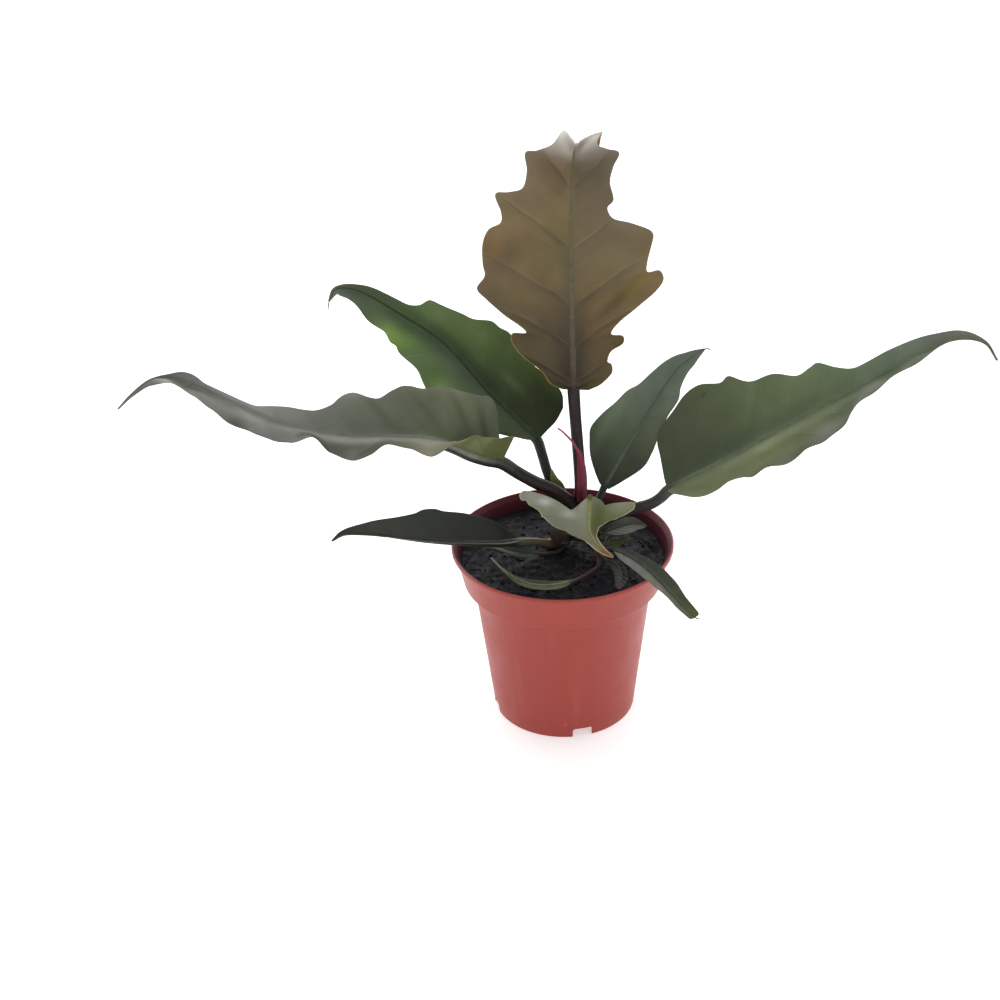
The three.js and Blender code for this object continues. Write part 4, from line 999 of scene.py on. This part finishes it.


# ---------------------------------------------------------------------------------------
# Olive leaf: the long leaf reaching out to the right, arched to a thin drooping tip.
# Its front half hangs below the midrib, with painted light near the midrib and painted shade
# towards its edge; its margins are slightly wavy.
# ---------------------------------------------------------------------------------------
olive = leaf_finish("leaf_olive_skin", "5a6246", "747a5c", veining=0.05, pleat=0.05)
grow_leaf("leaf_right", olive, rows=220, columns=28, leaf=dict(
    petiole=[(5, 10.5, 100), (31.6, 5.5, 115.2), (46.2, 1, 122), (52.5, -1, 127)],
    midrib=[(56, -2, 133), (105, -1, 159), (153, -4, 190.5), (184, -8, 210.7), (200, -11, 219.5),
        (212, -13, 216.5), (219.5, -14, 207)],
    face=[(-0.35, -0.6, 0.7)],
    left=half_leaf([(10, 31), (20, 36), (30, 41), (40, 42), (50, 38), (56, 39), (62, 33),
        (67, 30), (78, 28), (88, 21), (96, 21), (101, 21), (107, 15), (114, 10), (122, 9),
        (136, 9), (151, 7.5), (164, 4.2), (178, 1.8)], [15, 18, 22, 20, 15], base=[(1, 6),
        (4, 17), (6, 25)]),
    right=half_leaf([(3, 10), (13, 22), (25, 29), (33, 26), (40, 27), (46, 33), (55, 33),
        (64, 37), (73, 36), (78, 35), (86, 36), (93, 32), (101, 31), (106, 23), (113, 15),
        (125, 11), (141, 7), (158, 3.6), (178, 1.5)], [40, 42, 40, 36, 30], base=[(0, 3)]),
    radius=3.2, veins=[8, 27, 46, 66, 87, 109, 132, 156], slant=0.95, quilt=0.25,
    waves=[(1, 0.8, 30, 0.0), (-1, 0.8, 26, 1.0)],
    tones=dict(
        left=[(0, "485039"), (0.15, "545e44"), (0.3, "65714f"), (0.5, "74845f"), (0.7, "71806a"),
            (0.85, "70756b")],
        right=[(0, "7c8461"), (0.2, "727b54"), (0.4, "606b43"), (0.6, "4c5641"), (0.8, "68735d"),
            (1, "50483e")]),
    # Painted light and shade: the pale band just below the midrib is painted light on the front
    # half, and the dark spots out on the front half's margin are painted shade where it turns
    # away.
    spots=[(48, 3, 46, 6, "465240", 0.75), (60, -6, 54, 7, "a0ab89", 0.75),
        (96, -36, 56, 9, "222913", 0.85), (122, -17, 20, 7, "2c3320", 0.55),
        (39.3, 36.1, 1.4, 1.0, "2c3022", 0.6), (64, 26, 4, 13, "7c8a66", 0.4, 0.8),
        (84, 22, 4, 12, "7c8a6a", 0.4, 0.8)],
    under=alike((0, "5f6848"), (1, "66684e")),
    wood="363432", wood_end="42423e", rib="748067", keel="3a3830", taper=1.5))


# ---------------------------------------------------------------------------------------
# Dark low leaves: narrow older leaves low over the soil, nearly black-green. One leans
# out on the left, one hangs over the rim on the right, one peeps out over the soil and
# one droops onto it.
# ---------------------------------------------------------------------------------------
dark_green = leaf_finish("leaf_dark_skin", "3a4036", "444a3e", veining=0.03, pleat=0.04,
                         crease=0.1)
grow_leaf("leaf_low_left", dark_green, rows=120, columns=18, leaf=dict(
    petiole=[(-0.5, 10, 98.6), (-7, 6.2, 96.8), (-14.1, 1.6, 101.1)],
    midrib=[(-23, -5, 106.4), (-39, -16, 112), (-70, -36, 126), (-98, -55, 142),
        (-110, -62, 146.6), (-116.4, -67, 145.8)],
    face=[(0, -0.4, 0.9)],
    left=half_leaf([(0, 2), (10, 9), (25, 14), (45, 15.5), (65, 13), (85, 9), (105, 4)],
        [45, 46, 45, 40]),
    right=half_leaf([(0, 2), (5, 6), (11, 11), (22, 14.5), (35, 16.5), (47, 17), (53, 18),
        (61, 17), (67, 14.5), (80, 11), (93, 8), (105, 4.5)], [25, 25, 25, 25]),
    radius=2.2, quilt=0.1, slant=1.1,
    tones=dict(
        left=[(0, "1e211c"), (0.5, "2a2e27"), (1, "33352e")],
        right=[(0, "262924"), (0.35, "282b24"), (0.6, "30362c"), (1, "30332b")]),
    # The pale band along the front half is painted sheen.
    spots=[(48, 7, 34, 4, "474c42", 0.8)],
    under=alike((0, "3c4238"), (1, "444a3e")),
    wood="6a463c", wood_end="6e7054", rib="262a25", keel="38352e", stalk=(1.25, 1.35, 1.0)))
grow_leaf("leaf_low_right", dark_green, rows=90, columns=12, leaf=dict(
    petiole=[(19.5, -6.5, 96.5), (22, -9.5, 101.5)],
    midrib=[(26.4, -14.5, 104.5), (33, -24, 105.9), (39.5, -34, 106.1), (45.4, -43.5, 104.7),
        (51, -50, 100.9), (57.8, -55, 94.7), (65.5, -59, 88.4)],
    tip=[(66.5, -59.5, 87.8), (67.6, -59.8, 88.5)], face=[(-0.3, -0.5, 0.8)],
    left=half_leaf([(-0.1, 1.1), (10.1, 3.4), (19.3, 4.4), (28.4, 5.5), (35.5, 6.4), (41.9, 6.5),
        (47, 6.2), (53.3, 4.9), (60.1, 3.9), (65.4, 2.8)], [20, 25, 20]),
    right=half_leaf([(1.3, 1), (9.5, 4.1), (20.7, 5.3), (29.9, 5.4), (37.1, 4.7), (43.4, 3.6),
        (48.7, 2.9), (54.5, 3.1), (60.5, 3), (63.7, 2.8)], [20, 25, 20]),
    radius=1.5, quilt=0.2,
    # The pale grey tones of the right half are painted sheen; the yellow-green at the tip is the
    # leaf's own.
    tones=dict(
        left=[(0, "2e302c"), (0.25, "41443f"), (0.6, "444b3b"), (0.85, "454e33"), (1, "525a28")],
        right=[(0, "767b75"), (0.3, "80847a"), (0.65, "898b7a"), (0.85, "6a745c"),
            (1, "56602e")]),
    under=alike((0, "46503c"), (1, "566038")),
    wood="322c2a", rib="46504a", keel="3c3a32"))
grow_leaf("leaf_soil_right", dark_green, rows=60, columns=12, leaf=dict(
    petiole=[(5, 9, 98.5), (12, 6, 99)],
    midrib=[(19.9, 4, 103.5), (28.5, 7, 104.6), (38.5, 10, 105.3), (46.4, 9.5, 104)],
    face=[(0, -0.4, 0.9)],
    left=half_leaf([(1.6, 1.8), (5.8, 3.2), (11, 4.6), (16.2, 4.8), (20.6, 4.1), (24.3, 2.4)],
        [15]),
    right=half_leaf([(-0.1, 0.9), (2.7, 4.1), (9.3, 8.2), (17.3, 8.7), (25, 3.9)], [25]),
    radius=1.2, quilt=0.15,
    tones=dict(
        left=[(0, "2a2e27"), (0.6, "50564a"), (1, "2e302a")],
        right=[(0, "3c4235"), (0.3, "24261c"), (1, "27291e")]),
    under=alike((0, "464e42"), (1, "50584c")),
    wood="322a26", rib="3c4238", keel="3c3a32"))
grow_leaf("leaf_drooping", dark_green, rows=60, columns=10, leaf=dict(
    petiole=[(19.5, -7, 98.2), (21, -15.3, 100.2)],
    midrib=[(22.8, -19.4, 100.4), (26.6, -21.9, 99.6), (28.9, -27.2, 98.4), (28.8, -34.6, 97.4),
        (27, -44.2, 97.3)],
    face=[(0.2, -0.3, 0.9)],
    left=half_leaf([(0.6, 1.2), (4.7, 3.1), (9.2, 3.8), (15, 3.7), (22.9, 2.3)], [10]),
    right=half_leaf([(0.3, 1.8), (7.5, 4.1), (16.2, 3.4), (25.6, 2.3)], [10]),
    radius=1, quilt=0.1,
    tones=dict(
        left=[(0, "3a4035"), (0.25, "32382d"), (0.5, "151713"), (1, "10120d")],
        right=[(0, "30342f"), (0.4, "20231e"), (0.7, "141511"), (1, "10120d")]),
    under=alike((0, "383e34"), (1, "404639")),
    wood="3a3028", rib="363c34", keel="38352e"))


# ---------------------------------------------------------------------------------------
# Pale front leaf: a small leaf curling forward over the soil, two broad wings drawn to a
# dried orange-brown tip. It is thin, glossy and pale sage, with cream margins.
# ---------------------------------------------------------------------------------------
pale_sage = leaf_finish("leaf_pale_skin", "8f9a80", "d0cda2", rough=(0.24, 0.36), veining=0.08,
                        gloss=0.5, pleat=0.05)
grow_leaf("leaf_front", pale_sage, rows=110, columns=26, leaf=dict(
    petiole=[(7, 7, 113), (13, 4, 120)],
    midrib=[(15, 0, 128.5), (14.5, -5.4, 124.7), (14, -10.8, 121), (13.9, -16.2, 117.2),
        (17.4, -21.8, 112.8), (25.6, -28, 107.4)],
    face=[(0, -0.8, 0.6)],
    left=half_leaf([(3.7, 17.3), (3.7, 22.3), (5.4, 24.3), (7.8, 23.4), (9.2, 21.5),
        (10.8, 19.5), (12.1, 17.5), (13.6, 14.2), (14.3, 10.4), (16.7, 7.4), (21.4, 4.4),
        (24.3, 2.4), (28.5, 1.6), (33.9, 0.8)], [10], base=[(0, 2.8), (2.1, 5.2), (5.2, 5.8),
        (5, 8.8), (4.1, 12.4)]),
    right=half_leaf([(-0.3, 33.3), (-0.7, 35.5), (1, 37.3), (3.1, 37.5), (5, 36.1), (5.2, 33.7),
        (7.7, 32.3), (9.5, 28.9), (11.3, 26.3), (15, 24.1), (16.6, 21.3), (17.8, 17.1),
        (18.7, 12), (19.7, 7.8), (21.8, 5.8), (25.5, 4), (30.2, 3.2), (34.9, 2.4)], [4],
        base=[(1.6, 2.6), (5.2, 5.6), (8.8, 9.2), (6.9, 12.6), (4.1, 16.9), (1.5, 22.9),
        (-0.1, 28.9)]),
    radius=1.9, quilt=0.15, veins=[0, 8, 16, 24, 32], slant=0.4,
    tones=dict(
        left=[(0, "8a8b73"), (0.2, "7a8056"), (0.4, "5a6138"), (0.8, "6a6038"),
            (0.92, "8a5230")],
        right=[(0, "a2a392"), (0.25, "8f937d"), (0.5, "888c73"), (0.78, "8c8a62"),
            (0.9, "8f5c36"), (1, "7c4226")]),
    # Painted light and shade: the small pale spots on both wings are painted glints, and the dark
    # olive spot beside the keel is painted shade; the orange-brown spot is the dried tip.
    spots=[(36, 0, 4, 5, "9a5a2e", 0.9), (11, 5, 8, 4, "4a5828", 0.8),
        (3, 18, 6, 6, "aaac94", 0.7), (5, -24, 2.5, 4, "e0e2d8", 0.8),
        (11, -11, 2.5, 4, "ccd0c0", 0.6), (16, -18, 3, 5, "787c68", 0.5),
        (2, -32, 4, 4, "b8baac", 0.6), (6, -4, 5, 2, "b4b9a0", 0.5)],
    glow=0.75,
    under=alike((0, "808a62"), (1, "9a7048")),
    wood="4c4c30", turn=5, rib="9fa06c", keel="8c8c60", rib_tip="9c5c30", proud=0.35))


# ---------------------------------------------------------------------------------------
# Young soil leaves: a crescent lying on the soil, a small leaf beside the shoot and a
# blue-green one lying half hidden on the left. They are narrow, thin and low.
# ---------------------------------------------------------------------------------------
young = leaf_finish("leaf_young_skin", "6c7154", "7c8058", veining=0.03, pleat=0.04, crease=0.1)
grow_leaf("leaf_crescent", young, rows=90, columns=12, leaf=dict(
    petiole=[(19, -7, 97), (18, -19.4, 97.2), (11.1, -28.4, 97.4)],
    midrib=[(3.9, -34.3, 97.6), (-3.5, -36.7, 97.4), (-10.9, -37.6, 97.4), (-18.7, -35.5, 97.4),
        (-26.4, -29.4, 97.6), (-32.5, -20.9, 97.9), (-38.7, -9.8, 98.6)],
    face=[(0, -0.3, 0.95)],
    left=half_leaf([(0.9, 0.9), (5, 2.8), (10.3, 3.6), (15.2, 3.5), (21.1, 3.3), (26.1, 3.3),
        (31.6, 2.6), (37.2, 1.4), (45.4, 0.9)], [12]),
    right=half_leaf([(0.2, 1), (5.5, 1.8), (11.1, 2.6), (18.3, 3.1), (27.9, 2.3), (36.2, 1.3),
        (46.6, 0.5)], [12]),
    radius=1.1, quilt=0.1,
    tones=dict(
        left=[(0, "6a6b50"), (0.3, "5e624a"), (1, "575a42")],
        right=[(0, "484b36"), (0.4, "474a34"), (1, "42452f")]),
    under=alike((0, "6c7452"), (1, "6c7452")),
    wood="4a3430", rib="7a8462", keel="66694c"))
grow_leaf("leaf_soil_small", young, rows=50, columns=10, leaf=dict(
    petiole=[(19, -5.5, 97.4), (20, -2.5, 97.4)],
    midrib=[(23.6, -1.5, 99.1), (29.7, 0.5, 99.5), (36.4, 3, 101.3)],
    face=[(0, -0.4, 0.9)],
    left=half_leaf([(0.4, 1.2), (3.7, 2.4), (8, 2)], [15]),
    right=half_leaf([(0, 1.2), (3.3, 3.3), (7.5, 2.7)], [15]),
    radius=1, quilt=0.1,
    tones=alike((0, "4a5232"), (1, "566038")),
    under=alike((0, "566038"), (1, "566038")),
    wood="46402c", rib="566038", keel="4c4c32"))
grow_leaf("leaf_under", blue_green, rows=60, columns=10, leaf=dict(
    petiole=[(0.8, 5, 95.4), (-3, -1.5, 95.9)],
    midrib=[(-12, -6.5, 98), (-23, -7, 100), (-33.7, -8, 104), (-41.6, -9.7, 107)],
    face=[(0, -0.4, 0.9)],
    left=half_leaf([(0.5, 1.5), (8, 3.6), (17, 3.4), (26, 2)], [15]),
    right=half_leaf([(0.5, 1.5), (8, 3.6), (17, 3.4), (26, 2)], [15]),
    radius=1.2, quilt=0.1,
    tones=dict(
        left=[(0, "4c524b"), (0.3, "5c6258"), (0.5, "787f75"), (1, "767d72")],
        right=[(0, "3c433c"), (0.5, "485148"), (1, "4c554a")]),
    under=alike((0, "46524a"), (1, "46524a")),
    wood="2e2a26", rib="3c463e", keel="38382f"))


# ---------------------------------------------------------------------------------------
# Sheaths: the leaf scales at the crown. A small brown one clasps the stem's front, a
# wine-red one, spent from the newest leaf, stands before its stalk and ends in a pink
# thread, and a yellow-green one sits at the rear stalk's foot.
# ---------------------------------------------------------------------------------------
brown_scale = leaf_finish("scale_leaf_skin", "6a563e", "7c7450")
grow_leaf("scale_leaf", brown_scale, rows=50, columns=10, leaf=dict(
    petiole=[(-1.2, 7, 98.4), (-1.9, 4.6, 98.5)],
    midrib=[(-2.7, 3.4, 98.8), (-3.2, 3, 102.8), (-4.1, 3.2, 107.1), (-5, 4, 110.1)],
    face=[(0.1, -1, 0.25)],
    left=half_leaf([(0.5, 2.2), (4, 3.2), (8, 2.6), (11, 1.2)], [-25]),
    right=half_leaf([(0.5, 2.2), (4, 3.4), (8, 3), (11, 1.4)], [-25]),
    radius=1.4, quilt=0.08, proud=0.2,
    tones=alike((0, "4a322f"), (0.5, "4e413c"), (1, "5c5e4c")),
    under=alike((0, "54362e"), (1, "626640")),
    wood="46302c", rib="524640", keel="54402f"))
wine_red = leaf_finish("sheath_red_skin", "8a3048", "a04860", rough=(0.3, 0.4), veining=0.0)
grow_leaf("red_sheath", wine_red, rows=70, columns=10, leaf=dict(
    petiole=[(11.2, 7.6, 113), (11.3, 7.4, 117)],
    midrib=[(11.4, 7.2, 121), (11.4, 6.8, 136.5), (10.9, 6.2, 144.7), (9.7, 5.2, 152.4),
        (8.1, 4.5, 156), (6.1, 4.2, 160), (1.4, 3.5, 165.9), (-1.4, 3, 168.6)],
    face=[(0.2, -1, 0)],
    left=half_leaf([(0.5, 3), (12, 3.2), (22, 2.6), (30, 1.6), (34, 1), (38, 0.7)], [-25]),
    right=half_leaf([(0.5, 3), (12, 3.2), (22, 2.6), (30, 1.6), (34, 1), (38, 0.7)], [-25]),
    radius=1.2, quilt=0.05, proud=0.1,
    tones=dict(
        left=[(0, "70303a"), (0.3, "672636"), (0.6, "6a2438"), (0.75, "8a3450"), (1, "b86c7c")],
        right=[(0, "70303a"), (0.3, "6a2a38"), (0.6, "722a40"), (0.75, "a05064"),
            (1, "b86c7c")]),
    under=alike((0, "5a1e28"), (1, "b04a64")),
    wood="5a2028", rib="6c2034", keel="5a1e28", rib_tip="b04a64"))
yellow_green = leaf_finish("sheath_green_skin", "8a9050", "b0ac78", veining=0.2)
grow_leaf("green_sheath", yellow_green, rows=50, columns=10, leaf=dict(
    petiole=[(6, 14, 119), (4, 14.2, 121)],
    midrib=[(1.6, 14.6, 123.6), (-0.7, 15.2, 127.6), (-3.2, 16, 131.8), (-4.6, 17, 137)],
    face=[(-0.3, -0.9, 0.3)],
    left=half_leaf([(0.5, 2.2), (5, 3), (10, 2), (14, 0.8)], [20]),
    right=half_leaf([(0.5, 2.2), (5, 3), (10, 2), (14, 0.8)], [20]),
    radius=1, quilt=0.05, proud=0.1,
    tones=alike((0, "5c6034"), (1, "7c8448")),
    under=alike((0, "5c6034"), (1, "7c8448")),
    wood="4c4c30", rib="6c7440", keel="5c6034"))


# ---------------------------------------------------------------------------------------
# Studio: a plain pale floor that runs past the view and a white tent whose back wall is
# lit brightest, with two large soft lights, at the back and on the right. The camera
# looks down at the plant as it was photographed.
# ---------------------------------------------------------------------------------------
FLOOR_REACH = 6000
TENT_FRONT = [(0, 0.8), (0.4, 0.55), (1, 0.45)]
TENT_BACK = [(0, 1.0), (0.15, 1.4), (0.35, 3.0), (0.6, 3.0), (0.85, 0.9), (1, 0.45)]
TENT_STRENGTH = 3
LIT_POINT = (0, 0, 0.15)
TILT = math.radians(29.0)
ROLL = math.radians(-1.93)
LOOK_AT = (-0.03286, 0, 0.12855)
DISTANCE = 0.9
SENSOR = 36
FOCUS_IN_PIXELS, PHOTO_PIXELS = 1689.5, 1000

floor = bmesh.new()
bmesh.ops.create_grid(floor, x_segments=8, y_segments=8, size=FLOOR_REACH)
floor_piece = mesh_object(floor, "studio_floor")
paper = Finish("floor_paper", Roughness=0.9, Specular_IOR_Level=0.1,
               Emission_Color=(1, 1, 1, 1), Emission_Strength=0.5)
paper_tone = paper.mix(paper.noise(30, 4), (0.88, 0.88, 0.88), (0.92, 0.92, 0.92))
paper.bump(paper.noise(400, 3), 0.0001)
floor_piece.data.materials.append(paper.wear(Base_Color=paper_tone))

surround = bpy.data.worlds.new("studio_tent")
surround.use_nodes = True
tree = surround.node_tree
split = tree.nodes.new("ShaderNodeSeparateXYZ")
tree.links.new(tree.nodes.new("ShaderNodeTexCoord").outputs["Generated"], split.inputs[0])


def tent_wall(bands):
    """Brightness of one wall of the surround, from (height, brightness) up from the floor."""
    ramp = tree.nodes.new("ShaderNodeValToRGB")
    stops = ramp.color_ramp.elements
    for place, _ in bands[1:-1]:
        stops.new(place)
    for stop, (_, level) in zip(stops, bands):
        share = level / TENT_STRENGTH
        stop.color = (share, share, share, 1)
    tree.links.new(split.outputs["Z"], ramp.inputs["Fac"])
    return ramp.outputs["Color"]


behind = tree.nodes.new("ShaderNodeMapRange")
behind.interpolation_type = "SMOOTHSTEP"
for socket, value in zip(behind.inputs, (0, -0.1, 0.85, 0, 1)):
    socket.default_value = value
tree.links.new(split.outputs["Y"], behind.inputs["Value"])
glow = tree.nodes.new("ShaderNodeMix")
glow.data_type = "RGBA"
tree.links.new(behind.outputs["Result"], glow.inputs["Factor"])
tree.links.new(tent_wall(TENT_FRONT), glow.inputs[6])
tree.links.new(tent_wall(TENT_BACK), glow.inputs[7])
tree.links.new(glow.outputs[2], tree.nodes["Background"].inputs["Color"])
tree.nodes["Background"].inputs["Strength"].default_value = TENT_STRENGTH
bpy.context.scene.world = surround


def softbox(name, place, size, power):
    """A large square light turned to face the plant."""
    light = bpy.data.lights.new(name, "AREA")
    light.size, light.energy = size, power
    lamp = bpy.data.objects.new(name, light)
    bpy.context.scene.collection.objects.link(lamp)
    lamp.location = place
    lamp.visible_camera = False
    way = Vector(LIT_POINT) - Vector(place)
    lamp.rotation_euler = way.to_track_quat("-Z", "Y").to_euler()


softbox("back_light", (-0.5, 1.3, 0.9), 1.2, 3)
softbox("side_light", (1.4, 0.2, 0.7), 1.0, 2)

forward = Vector((0, math.cos(TILT), -math.sin(TILT)))
flat_right = Vector((1, 0, 0))
flat_up = flat_right.cross(forward)
right = math.cos(ROLL) * flat_right + math.sin(ROLL) * flat_up
up = -math.sin(ROLL) * flat_right + math.cos(ROLL) * flat_up
eye = Vector(LOOK_AT) - DISTANCE * forward
lens = bpy.data.cameras.new("photo_camera")
lens.sensor_width = SENSOR
lens.lens = FOCUS_IN_PIXELS * SENSOR / PHOTO_PIXELS
camera = bpy.data.objects.new("photo_camera", lens)
bpy.context.scene.collection.objects.link(camera)
camera.matrix_world = Matrix(((right.x, up.x, -forward.x, eye.x),
                              (right.y, up.y, -forward.y, eye.y),
                              (right.z, up.z, -forward.z, eye.z), (0, 0, 0, 1)))
bpy.context.scene.camera = camera
bpy.context.scene.view_settings.view_transform = "Standard"
